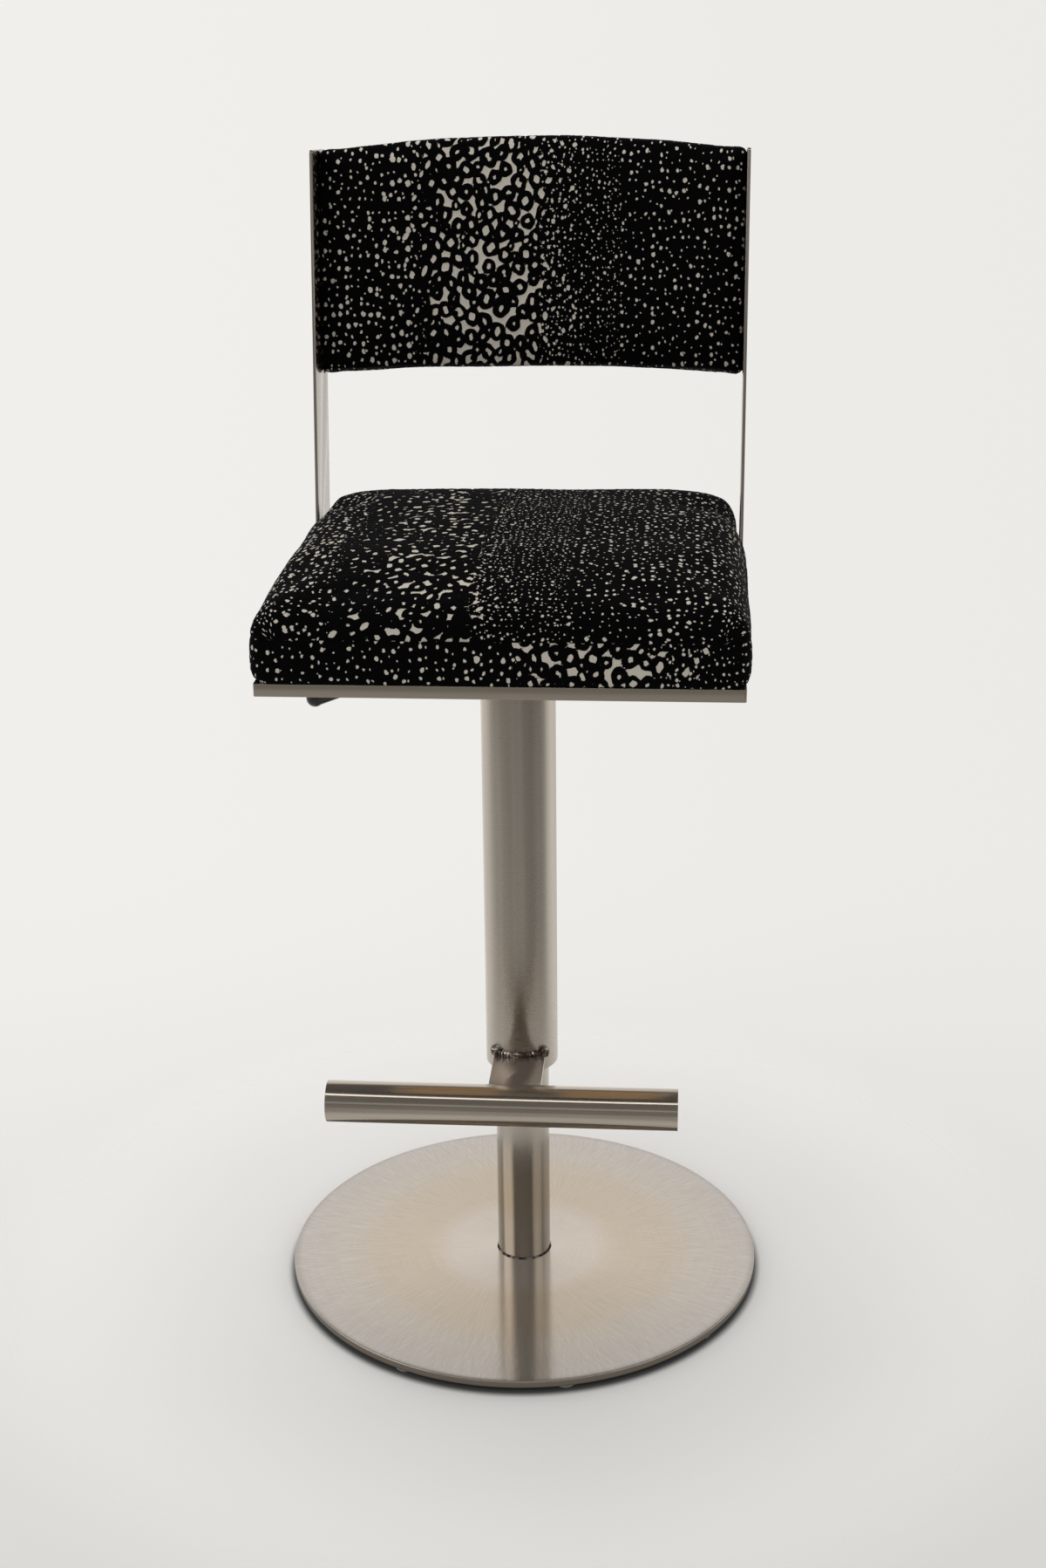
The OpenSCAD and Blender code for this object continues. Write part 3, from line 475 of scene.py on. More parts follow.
def makeDisc(look):
    low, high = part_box("base_plate")
    rim, flat = high.x, high.x - look["flat"]
    profile = [(rim * share, high.z) for share in (0.0, 0.25, 0.5, 0.75)]
    profile += eased([(flat, high.z), (rim, high.z), (rim, low.z), (flat, low.z)], look["edge"], look["easeSteps"],
                     closed=False)
    profile += [(rim * 0.5, low.z), (0.0, low.z)]
    newPiece("disc", turned("disc", profile, look["steps"]), "base_plate")


def tubeOf(name, radius, low, high, look):
    inside = radius - look["wall"]
    section = [(radius, low), (radius, high), (inside, high), (inside, low)]
    return turned(name, eased(section, look["edge"], look["easeSteps"]), look["steps"], closed=True)


def boxMesh(bm, middle, size):
    made = bmesh.ops.create_cube(bm, size=1.0)
    for vert in made["verts"]:
        vert.co = Vector(middle) + Vector([c * span for c, span in zip(vert.co, size)])


# A mesh with boxes cut out of it
def carved(name, mesh, boxes):
    bm = bmesh.new()
    for middle, size in boxes:
        boxMesh(bm, middle, size)
    cutter = objectOf("cutter", meshOf("cutter", bm, smooth=False))
    done = modified(name, mesh, "BOOLEAN", {"operation": "DIFFERENCE", "solver": "EXACT", "use_self": True,
                                            "object": cutter})
    bpy.data.objects.remove(cutter)
    sharpen(done)
    done.materials.clear()
    return done


def makeSeatTube(look, slot):
    low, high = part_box("seat_tube")
    hole = ((slot["middle"], 0.0, (slot["low"] + slot["high"]) / 2),
            (slot["deep"], slot["width"], slot["high"] - slot["low"]))
    whole = tubeOf("seatTube", high.x, low.z, high.z, look)
    newPiece("seatTube", carved("seatTubeSlotted", whole, [hole]), "seat_tube")


# The footrest is an open tube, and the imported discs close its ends
def makeFootrest(look):
    low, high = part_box("footrest_tube")
    tube = tubeOf("footrest", (high.z - low.z) / 2, 0.0, high.x - low.x, look)
    place = Matrix.Translation((low.x, (low.y + high.y) / 2, (low.z + high.z) / 2))
    tube.transform(place @ Matrix.Rotation(math.radians(90), 4, "Y"))
    newPiece("footrest", tube, "footrest_tube")


makeDisc(discLook)
low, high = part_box("base_column")
newPiece("column", tubeOf("column", high.x, low.z, high.z, columnLook), "base_column")
print("base made")
makeSeatTube(seatTubeLook, slotLook)
makeFootrest(footrestLook)
print("tubes made")

# Bars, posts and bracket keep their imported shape, with broken edges

easeLook = {
    "frame_front_bar": 0.0006, "frame_rear_bar": 0.0006, "frame_right_bar": 0.0006, "frame_left_bar": 0.0006,
    "right_post": 0.0005, "left_post": 0.0005, "footrest_bracket": 0.0005, "seat_strap": 0.0004, "lever_arm": 0.0003,
}
for node, width in easeLook.items():
    softened(node, width, finish=finishes["side_steel"] if node in ("frame_right_bar", "frame_left_bar") else None)
softened("lever_grip", 0.0010, 3, 25.0)
print("bars made")

# Small repeated pieces grow from node trees, each with named inputs


class Tree(Sheet):
    def __init__(self, name, **inputs):
        super().__init__(bpy.data.node_groups.new(name, "GeometryNodeTree"))
        face = self.tree.interface
        face.new_socket("Path", in_out="INPUT", socket_type="NodeSocketGeometry")
        for label, value in inputs.items():
            kind = "NodeSocketInt" if isinstance(value, int) else "NodeSocketFloat"
            face.new_socket(label, in_out="INPUT", socket_type=kind).default_value = value
        face.new_socket("Mesh", in_out="OUTPUT", socket_type="NodeSocketGeometry")
        self.given = self.node("NodeGroupInput")

    def shape(self, piece):
        return self.node("GeometryNodeObjectInfo", {"Object": piece}, output="Geometry")

    def random(self, low, high):
        seed = self.given.out("Seed")
        return self.node("FunctionNodeRandomValue", {2: low, 3: high, 8: seed}, {"data_type": "FLOAT"}, 1)

    def close(self, copies, finish):
        instances = self.node("GeometryNodeInstanceOnPoints", copies)
        real = self.node("GeometryNodeRealizeInstances", {0: instances})
        painted = self.node("GeometryNodeSetMaterial", {"Geometry": real, "Material": finish})
        self.node("NodeGroupOutput", {0: painted})
        return self


# Runs a tree over a path of points and edges and gives its plain mesh
def grown(name, tree, points, edges=(), **values):
    path = bpy.data.meshes.new(name)
    path.from_pydata(points, edges, [])
    inputs = [(item.identifier, values[item.name]) for item in tree.tree.interface.items_tree
              if item.in_out == "INPUT" and item.name in values]
    done = modified(name, path, "NODES", {"node_group": tree.tree}, inputs)
    for face in done.polygons:
        face.use_smooth = True
    return done


# Copies of one shape evenly round the column
def ringTree(name, shape, finish):
    t = Tree(name, Count=9, Radius=0.1, Height=0.0, Turn=0.0)
    count, radius, height, turn = (t.given.out(label) for label in ("Count", "Radius", "Height", "Turn"))
    circle = t.node("GeometryNodeMeshCircle", {"Vertices": count, "Radius": radius})
    placed = t.node("GeometryNodeTransform", {
        "Geometry": circle, "Translation": t.vector(0.0, 0.0, height), "Rotation": t.vector(0.0, 0.0, turn)})
    return t.close({"Points": placed, "Instance": t.shape(shape)}, finish)


# Screws on given points, each with its recess turned another way
def screwTree(name, shape, finish):
    t = Tree(name, Size=1.0, Seed=3)
    size = t.given.out("Size")
    return t.close({"Points": t.given, "Instance": t.shape(shape), "Rotation": t.vector(0.0, 0.0, t.random(0.0, 3.1)),
                    "Scale": t.vector(size, size, size)}, finish)


# A weld: overlapping drops along a path, thin along it, each a little different
def weldTree(name, finish):
    t = Tree(name, Pitch=0.0012, Size=0.0024, Uneven=0.25, Seed=5)
    curve = t.node("GeometryNodeMeshToCurve", {0: t.given})
    steps = t.node("GeometryNodeResampleCurve", {"Curve": curve, "Length": t.given.out("Pitch")}, {"mode": "LENGTH"})
    drop = t.node("GeometryNodeMeshUVSphere", {"Segments": 10, "Rings": 6, "Radius": t.given.out("Size")})
    share = 1 + t.random(-1.0, 1.0) * t.given.out("Uneven")
    turn = t.node("FunctionNodeAlignRotationToVector", {"Vector": t.node("GeometryNodeInputTangent")}, {"axis": "X"})
    thin = t.vector(0.72, share, share)
    return t.close({"Points": steps, "Instance": drop, "Rotation": turn, "Scale": thin}, finish)


def joined(name, meshes):
    bm = bmesh.new()
    for mesh in meshes:
        bm.from_mesh(mesh)
    done = bpy.data.meshes.new(name)
    bm.to_mesh(done)
    bm.free()
    return done


def lineOf(points, closed=False):
    return points, [(i, i + 1) for i in range(len(points) - 1)] + ([(len(points) - 1, 0)] if closed else [])


def arcOf(radius, z, start, sweep, steps=48):
    return [(radius * math.cos(start + sweep * i / steps), radius * math.sin(start + sweep * i / steps), z)
            for i in range(steps + 1)]


glideLook = {"count": 9, "turn": -76.0, "inset": 0.002, "width": 0.024, "dome": 0.0045, "pad": 0.0015}
ballLook = {"count": 10, "pitch": 0.009}


def makeRing(name, node, mesh, **sizes):
    shape = objectOf("shape", mesh)
    tree = ringTree(name + "Tree", shape, finishes[slotOf[node]])
    newPiece(name, grown(name, tree, [], **sizes), node)
    bpy.data.objects.remove(shape)


def makeGlides(look):
    half = look["width"] / 2
    top = -look["pad"]
    low = top - look["dome"]
    dome = [(0.0, low), (half * 0.45, low + 0.0001), (half * 0.72, low + 0.0004), (half * 0.88, low + 0.0011),
            (half * 0.96, low + 0.0022), (half, low + 0.0036), (half * 0.985, top), (0.0, top)]
    pad = [(0.0, top), (half - 0.0005, top), (half - 0.0003, -0.0006), (half - 0.0008, 0.0), (0.0, 0.0)]
    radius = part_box("base_plate")[1].x - look["inset"] - half
    for name, node, profile in (("glideDomes", "glides", dome), ("glidePads", "glide_discs", pad)):
        makeRing(name, node, turned(name, profile, 40), Count=look["count"], Radius=radius,
                 Turn=math.radians(look["turn"]))


def makeBalls(look):
    low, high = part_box("bearing_balls")
    bm = bmesh.new()
    bmesh.ops.create_uvsphere(bm, u_segments=20, v_segments=12, radius=(high.z - low.z) / 2)
    makeRing("bearingBalls", "bearing_balls", meshOf("ball", bm), Count=look["count"], Radius=look["pitch"],
             Height=(low.z + high.z) / 2)


makeGlides(glideLook)
makeBalls(ballLook)

screwLook = {
    "head": 0.004, "tall": 0.0025, "shank": 0.002, "reach": 0.0035, "strap": (0.035, 0.150), "tabs": (0.1955, 0.201),
    "backHead": 0.005, "backShank": 0.0025, "backSpread": 0.055, "backReach": 0.018, "backAim": 0.0034797,
    "recess": (0.0045, 0.0009, 0.0028),
}


def crossRecess(look, z):
    length, width, deep = look["recess"]
    return [((0.0, 0.0, z), (length, width, deep)), ((0.0, 0.0, z), (width, length, deep))]


def makeBoardScrews(look):
    r, h, shank = look["head"], look["tall"], look["shank"]
    profile = [(0.0, -h), (r * 0.5, -h * 0.98), (r * 0.8, -h * 0.84), (r * 0.96, -h * 0.5), (r, -h * 0.2), (r, 0.0),
               (shank, 0.0), (shank, look["reach"]), (0.0, look["reach"])]
    shape = objectOf("shape", carved("panHead", turned("panHead", profile, 36), crossRecess(look, -h)))
    places = ((look["strap"], "seat_strap"), (look["tabs"], "corner_tabs"))
    points = [(sx * x, sy * y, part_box(node)[0].z) for (x, y), node in places for sx in (-1, 1) for sy in (-1, 1)]
    tree = screwTree("boardScrewTree", shape, finishes["screw_steel"])
    newPiece("boardScrews", grown("boardScrews", tree, points, Seed=3), "board_screws")
    bpy.data.objects.remove(shape)


makeBoardScrews(screwLook)

weldLook = {
    "pitch": 0.0031, "size": 0.0034, "uneven": 0.45, "blob": 0.0050, "blobPitch": 0.0015, "blobUneven": 0.3,
    "bracketTop": 0.261, "bracketHalf": 0.027, "footY": -0.1415, "footZ": 0.258, "footSkin": 0.0206,
    "footLift": 0.0042, "rootOut": 0.0010, "rootUp": 0.0011, "blobHalf": 0.001, "topOut": 0.0009, "footOut": 0.0003,
    "postFront": 0.1488, "postDeep": 0.07705, "postSize": 0.0017, "postPitch": 0.0010, "fineUneven": 0.2,
    "proud": 0.0004, "frameHalf": 0.2235, "frameLow": 0.716, "frameTall": 0.012, "lean": 8.5,
    "seatTubeSize": 0.0022, "columnSize": 0.0010, "columnPitch": 0.0007,
}


def makeWelds(look):
    tree = weldTree("weldTree", finishes["weld_bead"])
    footTree = weldTree("footWeldTree", finishes["foot_bead"])

    def bead(points, size, seed, pitch=look["pitch"], uneven=look["uneven"], closed=False, tree=tree):
        return grown("bead", tree, *lineOf(points, closed), Size=size, Seed=seed, Pitch=pitch, Uneven=uneven)

    # under the bracket's root, with a blob near each end
    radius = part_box("seat_tube")[1].x
    half = math.asin(look["bracketHalf"] / radius)
    arc = arcOf(radius + look["rootOut"], look["bracketTop"] + look["rootUp"], -math.pi / 2 - half, 2 * half)
    runs = [bead(arc, look["size"], 5)]
    for seed, (x, y, z) in enumerate((arc[1], arc[3], arc[-2], arc[-4])):
        ends = [(x - look["blobHalf"], y, z), (x + look["blobHalf"], y, z + look["proud"])]
        runs.append(bead(ends, look["blob"], 20 + seed, look["blobPitch"], look["blobUneven"]))
    newPiece("bracketWeld", joined("bracketWeld", runs), "bracket_weld")

    # between bracket and footrest
    y = look["footY"] + look["footSkin"] + look["proud"]
    runs = [bead([(sx * (look["bracketHalf"] - 0.0015), y, look["footZ"] + lift) for sx in (-1, 1)],
                 look["size"] * 0.85, seed) for seed, lift in ((6, look["footLift"]), (7, -look["footLift"]))]
    newPiece("footrestWelds", joined("footrestWelds", runs), "footrest_welds")

    # down each post's two edges on the frame
    rise = look["frameTall"] * math.tan(math.radians(look["lean"]))
    edges = ((8, look["postFront"] - look["proud"]), (9, look["postFront"] + look["postDeep"] + look["proud"]))
    runs = [bead([(side * (look["frameHalf"] + 0.0006), y + rise * t, look["frameLow"] + look["frameTall"] * t)
                  for t in (0.06, 0.94)], look["postSize"], seed + side, look["postPitch"], look["fineUneven"])
            for side in (-1, 1) for seed, y in edges]
    newPiece("postWelds", joined("postWelds", runs), "post_welds")

    # round the seat tube's top and the column's foot
    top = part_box("seat_tube_weld")[1].z - look["topOut"]
    around = arcOf(radius + look["topOut"], top, 0.0, 2 * math.pi, 120)[:-1]
    newPiece("seatTubeWeld", bead(around, look["seatTubeSize"], 12, closed=True), "seat_tube_weld")
    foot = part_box("column_weld")[0].z + 0.0002
    around = arcOf(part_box("base_column")[1].x + look["footOut"], foot, 0.0, 2 * math.pi, 120)[:-1]
    foot = bead(around, look["columnSize"], 13, look["columnPitch"], look["fineUneven"], True, footTree)
    newPiece("columnWeld", foot, "column_weld")


makeWelds(weldLook)
print("screws, glides, balls and welds made")

# The drawing of the fabric: rings of pile thrown at random in a stripe, and dots in closed pile away from it

pileLook = {
    "across": [(-0.110, 0.0052), (-0.085, 0.0060), (-0.060, 0.0074), (0.0, 0.0084), (0.050, 0.0080), (0.068, 0.0060),
               (0.110, 0.0046)],  # a ring's half width by its distance from the stripe
    "coarse": [(-0.300, 0.0012), (-0.200, 0.0013), (-0.085, 0.0018), (-0.066, 0.0), (0.110, 0.0), (0.145, 0.0012),
               (0.300, 0.0014)],  # a dot's half width by distance
    "fine": [(0.045, 0.0), (0.060, 0.0009), (0.125, 0.0009), (0.160, 0.0)],
    "repeat": 0.62,  # distance from stripe to stripe
    "reach": 0.085, "tall": 1.18, "stroke": 0.0054, "strokeShare": 0.68, "cell": 0.0008, "wander": 0.009,
    "bitten": 0.24, "bittenFrom": 0.0062,  # the share of rings whose holes are bitten, and from what half width
    # the pile closes away from the stripe, in uneven patches of so many cells, and wholly from the last distance on
    "shutFrom": 0.040, "shutOver": 0.045, "shutLeast": 0.0004, "shutMost": 0.0034, "patch": 14,
    "allFrom": 0.070, "allOver": 0.020, "all": 0.03,
    # the rings are thrown in turns: their share of full size, tries a square metre, and how far they keep apart
    "throws": [(1.0, 230000, 0.82), (0.80, 200000, 0.82), (0.60, 150000, 0.85), (0.46, 9000, 0.90)],
}


def smoothShare(value):
    value = np.clip(value, 0.0, 1.0)
    return value * value * (3 - 2 * value)


def fromStripe(place, stripe, look):
    return (place - stripe + look["repeat"] / 2) % look["repeat"] - look["repeat"] / 2


def throwRings(width, height, stripe, look, rng):
    distances, sizes = zip(*look["across"])
    spot = 0.018
    columns, rows = int(width / spot) + 2, int(height / spot) + 2
    grid = [[[] for _ in range(rows)] for _ in range(columns)]
    phases = rng.random(2) * 2 * math.pi
    rings = []
    for share, tries, crowding in look["throws"]:
        tries = int(tries * width * height)
        across = (rng.random(tries) - 0.5) * width
        along = (rng.random(tries) - 0.5) * height
        sway = look["wander"] * (np.sin(along * 31 + phases[0]) + 0.6 * np.sin(along * 67 + phases[1]))
        away = fromStripe(across - sway, stripe, look)
        half = np.interp(away, distances, sizes) * share * (0.86 + 0.28 * rng.random(tries))
        near = np.abs(away) < look["reach"]
        for u, v, size in zip(across[near].tolist(), along[near].tolist(), half[near].tolist()):
            i, j = int((u + width / 2) / spot), int((v + height / 2) / spot)
            others = (other for column in grid[max(0, i - 1):i + 2] for cell in column[max(0, j - 1):j + 2]
                      for other in cell)
            if all((u - u2) ** 2 + ((v - v2) / look["tall"]) ** 2 >= (crowding * (size + size2)) ** 2
                   for u2, v2, size2 in others):
                grid[i][j].append((u, v, size))
                rings.append((u, v, size))
    return rings


def fromEllipse(x, y, a, b):
    reach = np.sqrt((x / a) ** 2 + (y / b) ** 2) + 1e-9
    slope = np.sqrt((x / a ** 2) ** 2 + (y / b ** 2) ** 2) + 1e-9
    return reach * (reach - 1) / slope


# How far off the holes are over a flat piece of cloth, and the depth inside the rings' outlines, both read at each
# place (u, v). The ground shows where either is less than nothing
def drawPile(u, v, width, height, stripe, look, seed):
    rng = np.random.default_rng(seed)
    cell = look["cell"]
    across = np.arange(int(width / cell) + 2) * cell - width / 2
    along = np.arange(int(height / cell) + 2) * cell - height / 2
    outer = np.full((len(across), len(along)), 0.01)
    hole = np.full((len(across), len(along)), 0.01)
    for atU, atV, size in throwRings(width, height, stripe, look, rng):
        luck = rng.random(7)
        a = size * (0.93 + 0.12 * luck[0])
        b = size * look["tall"] * (0.90 + 0.22 * luck[1])
        tilt = (luck[2] - 0.5) * 0.9
        stroke = min(look["stroke"], size * look["strokeShare"]) * (0.82 + 0.3 * luck[3])
        i0, i1 = np.searchsorted(across, (atU - b - 0.003, atU + b + 0.003))
        j0, j1 = np.searchsorted(along, (atV - b - 0.003, atV + b + 0.003))
        du, dv = across[i0:i1, None] - atU, along[None, j0:j1] - atV
        x = du * math.cos(tilt) + dv * math.sin(tilt)
        y = dv * math.cos(tilt) - du * math.sin(tilt)
        turn = np.arctan2(y, x)
        wave = 1 + 0.05 * np.sin(turn * 3 + luck[4] * 6.28) + 0.035 * np.sin(turn * 5 + luck[5] * 40)
        dent = 1 + 0.16 * np.sin(turn * 2 + luck[4] * 17) + 0.12 * np.sin(turn * 4 + luck[6] * 31)
        holeA = max(a - stroke, 0.0008) * (0.64 + 0.42 * luck[6])
        holeB = max(b - stroke * 1.02, 0.0011) * (0.66 + 0.46 * luck[6])
        inner = fromEllipse(x / dent, y / dent, holeA, holeB)
        if luck[5] < look["bitten"] and size > look["bittenFrom"]:  # into a heart or a crescent
            side = luck[4] * 6.28
            bite = np.hypot(x - holeA * 1.1 * math.cos(side), y - holeB * 0.9 * math.sin(side)) - holeA * 0.85
            inner = np.maximum(inner, -bite)
        outer[i0:i1, j0:j1] = np.minimum(outer[i0:i1, j0:j1], fromEllipse(x / wave, y / wave, a, b))
        hole[i0:i1, j0:j1] = np.minimum(hole[i0:i1, j0:j1], inner)
    many = look["patch"]
    coarse = rng.random((len(across) // many + 1, len(along) // many + 1))
    patch = np.kron(coarse, np.ones((many, many)))[:len(across), :len(along)]
    away = np.abs(fromStripe(across, stripe, look))[:, None]
    shut = (np.clip((away - look["shutFrom"]) / look["shutOver"], 0, 1)
            * (look["shutLeast"] + look["shutMost"] * patch))
    shut = shut + smoothShare((away - look["allFrom"]) / look["allOver"]) * look["all"]
    i, j = (np.clip((place + size / 2) / cell, 0, count - 1.001)
            for place, size, count in zip((u, v), (width, height), hole.shape))
    i0, j0 = i.astype(int), j.astype(int)
    fi, fj = i - i0, j - j0
    read = []
    for sheet in (hole, shut - outer):
        low = sheet[i0, j0] * (1 - fi) + sheet[i0 + 1, j0] * fi
        high = sheet[i0, j0 + 1] * (1 - fi) + sheet[i0 + 1, j0 + 1] * fi
        read.append(low * (1 - fj) + high * fj)
    return read


# Corner by corner points of a rounded rectangle of half sizes a and b
def roundedOutline(a, b, r, arc=8, side=24):
    points = []
    for k in range(4):
        start = math.pi / 2 * k
        sx = 1 if k in (0, 3) else -1
        sy = 1 if k in (0, 1) else -1
        bend = [(sx * (a - r) + r * math.cos(start + math.pi / 2 * i / arc),
                 sy * (b - r) + r * math.sin(start + math.pi / 2 * i / arc)) for i in range(arc + 1)]
        last = bend[-1]
        end = {0: (-(a - r), last[1]), 1: (last[0], -(b - r)), 2: (a - r, last[1]), 3: (last[0], b - r)}[k]
        points += bend
        points += [(last[0] + (end[0] - last[0]) * i / side, last[1] + (end[1] - last[1]) * i / side)
                   for i in range(1, side)]
    return points


def domeCorner(a, r, share):
    return share * (r + (a - r) * (1 - share) * 0.4)


def skinOf(name, rings, firstPole, lastPole):
    bm = bmesh.new()
    loops = [[bm.verts.new(p) for p in ring] for ring in rings]
    count = len(loops[0])
    for low, high in zip(loops, loops[1:]):
        for i in range(count):
            n = (i + 1) % count
            bm.faces.new((low[i], low[n], high[n], high[i]))
    for loop, pole in ((loops[0], firstPole), (loops[-1], lastPole)):
        tip = bm.verts.new(pole)
        for i in range(count):
            bm.faces.new((loop[i], loop[(i + 1) % count], tip))
    bmesh.ops.recalc_face_normals(bm, faces=bm.faces)
    return meshOf(name, bm)


def pointsOf(mesh, of="vertices", what="co"):
    values = np.empty(len(getattr(mesh, of)) * 3, np.float32)
    getattr(mesh, of).foreach_get(what, values)
    return values.reshape(-1, 3).astype(float)


def movePoints(mesh, points):
    mesh.vertices.foreach_set("co", points.astype(np.float32).ravel())
    mesh.update()


def remeshed(mesh, voxel):
    return modified(mesh.name + "Fine", mesh, "REMESH", {"mode": "VOXEL", "voxel_size": voxel,
                                                         "use_smooth_shade": True})


# Blows a coarse copy up as cloth and carries what it moved over to the fine mesh
def swell(fine, skin, look, isHeld):
    coarse = remeshed(skin, look["clothVoxel"])
    still = pointsOf(coarse)
    work = objectOf("work", coarse)
    held = work.vertex_groups.new(name="held")
    held.add([int(i) for i in np.nonzero(isHeld(still))[0]], 1.0, "REPLACE")
    cloth = work.modifiers.new("air", "CLOTH")
    cloth.point_cache.frame_start, cloth.point_cache.frame_end = 1, look["frames"]
    cloth.collision_settings.use_collision = False
    put = cloth.settings
    put.quality = 5
    put.mass = 0.3
    put.tension_stiffness = put.compression_stiffness = 12.0
    put.bending_stiffness = 0.6
    put.use_pressure = True
    put.uniform_pressure_force = look["pressure"]
    put.effector_weights.gravity = 0.0
    put.vertex_group_mass = "held"
    for frame in range(1, look["frames"] + 1):
        scene.frame_set(frame)
    blown = pointsOf(evaluated(work, "blown"))
    scene.frame_set(1)
    bpy.data.objects.remove(work)
    shift = blown - still
    length = np.linalg.norm(shift, axis=1)
    shift *= (np.minimum(length, look["cap"]) / np.maximum(length, 1e-9))[:, None] * np.array(look["give"])
    tree = kdtree.KDTree(len(still))
    for i, place in enumerate(still):
        tree.insert(place, i)
    tree.balance()
    places = pointsOf(fine)
    for k, place in enumerate(places):
        near = tree.find_n(place, 4)
        weights = [1 / (distance + 0.002) ** 2 for _, _, distance in near]
        places[k] += sum(shift[i] * w for (_, i, _), w in zip(near, weights)) / sum(weights)
    movePoints(fine, places)


# The vertex at each corner of each face, and that face's middle
def cornersOf(mesh):
    corners = np.empty(len(mesh.loops), np.int32)
    mesh.loops.foreach_get("vertex_index", corners)
    counts = np.empty(len(mesh.polygons), np.int32)
    mesh.polygons.foreach_get("loop_total", counts)
    return corners, np.repeat(pointsOf(mesh, "polygons", "center"), counts, axis=0)


# Writes the drawing onto the pad, corner by corner, and raises the pile over its ground
def clothe(mesh, corners, u, v, drawn, stripe, look):
    away = fromStripe(u, stripe, pileLook)
    coarse, fine = (np.interp(away, *zip(*pileLook[key])) for key in ("coarse", "fine"))
    hole, outline = drawn
    for name, columns in (("cloth", (u, v, hole)), ("dots", (coarse, fine, outline))):
        values = mesh.attributes.new(name, "FLOAT_VECTOR", "CORNER")
        values.data.foreach_set("vector", np.column_stack(columns).astype(np.float32).ravel())
    rng = np.random.default_rng(look["seed"])
    depth = np.zeros(len(mesh.vertices))
    depth[corners] = np.minimum(hole, outline)
    rise = smoothShare(depth / look["slope"] + 0.5) * look["pile"] + (rng.random(len(depth)) - 0.5) * look["rough"]
    movePoints(mesh, pointsOf(mesh) + pointsOf(mesh, "vertex_normals", "vector") * rise[:, None])


# Stuffing is never quite even
def lumpsAt(places, look):
    shift = Vector((look["lumpShift"], 0.0, 0.0))
    return np.array([noise.noise(Vector(place) * look["lumpScale"] + shift) for place in places]) * look["lump"]


def cutAcross(mesh, heights):
    bm = bmesh.new()
    bm.from_mesh(mesh)
    for z in heights:
        bmesh.ops.bisect_plane(bm, geom=bm.verts[:] + bm.edges[:] + bm.faces[:], dist=1e-5,
                               plane_co=(0.0, 0.0, z), plane_no=(0.0, 0.0, 1.0))
    bm.to_mesh(mesh)
    bm.free()


# Seat cushion

seatLook = {
    "side": 0.2305, "front": -0.237, "rear": 0.227, "corner": 0.018,
    "foot": 0.7283, "seam": 0.7703, "shoulder": 0.029, "rise": 0.044, "crown": 0.005,
    "sag": 0.012, "sagReach": 0.150,  # the cover is pulled down at the front
    "tuck": 0.006, "seamTuck": 0.001, "shrink": 0.0025,
    "postFront": 0.1488, "between": 0.2227, "drawEnd": 0.020, "drawLength": 0.060,  # drawn in between the posts
    "voxel": 0.0024, "clothVoxel": 0.008, "frames": 20, "pressure": 4.0, "cap": 0.0045, "give": (0.45, 0.45, 1.0),
    "heldLow": 0.006, "heldBeside": 0.014, "heldAhead": 0.03, "lumpFrom": 0.004,  # held at the foot and at the posts
    "groove": 0.0011, "grooveWidth": 0.0012, "lump": 0.0016, "lumpScale": 13.0, "lumpShift": 0.0, "bite": 0.004,
    "topCloth": (0.56, 0.56), "stripe": -0.080, "bandCloth": 0.056, "bandStripe": 0.090, "lie": 0.0006,
    "pile": 0.0009, "slope": 0.0009, "rough": 0.0004, "seed": 11,
}
# the rings of the seat's top skin, as shares of its outline
seatShares = [0.999, 0.996, 0.991, 0.984, 0.975, 0.965, 0.954, 0.942, 0.930, 0.918, 0.905, 0.88, 0.84, 0.76, 0.66,
              0.52, 0.36, 0.2, 0.08]


# Height of the seat's top over its seam: a round shoulder and then a slight crown
def seatHeight(share, look):
    near = 1 - np.minimum((1 - share) * look["side"] / look["shoulder"], 1)
    return (look["rise"] - look["shrink"]) * np.sqrt(1 - near * near) + look["crown"] * (1 - share * share)


def seatRings(look):
    a = look["side"] - look["shrink"]
    b = (look["rear"] - look["front"]) / 2 - look["shrink"]
    middle = (look["rear"] + look["front"]) / 2
    band = look["seam"] - look["foot"]

    def ring(inset, z, share=1.0):
        points = []
        for x, y in roundedOutline((a - inset) * share, (b - inset) * share,
                                   domeCorner(a - inset, look["corner"], share)):
            u = smoothShare((y + middle - look["postFront"] + look["drawEnd"]) / look["drawLength"] + 1)
            nearFront = smoothShare(1 - (y + middle - look["front"]) / look["sagReach"])
            sag = look["sag"] * nearFront * max(0.0, z - look["seam"]) / look["rise"]
            points.append((x * (1 + (look["between"] / look["side"] - 1) * u), y + middle, z - sag))
        return points

    rings = [ring(look["tuck"], look["foot"], 0.5)]
    rings += [ring(look["tuck"] * t, look["foot"] + up * band)
              for t, up in ((1.0, 0.0), (0.55, 0.12), (0.25, 0.3), (0.0, 0.6))]
    rings += [ring(look["seamTuck"] * 0.3, look["foot"] + 0.88 * band), ring(look["seamTuck"], look["seam"])]
    rings += [ring(look["seamTuck"] * s, look["seam"] + seatHeight(s, look), s) for s in seatShares]
    return rings, (0.0, middle, look["foot"]), (0.0, middle, look["seam"] + seatHeight(0.0, look))


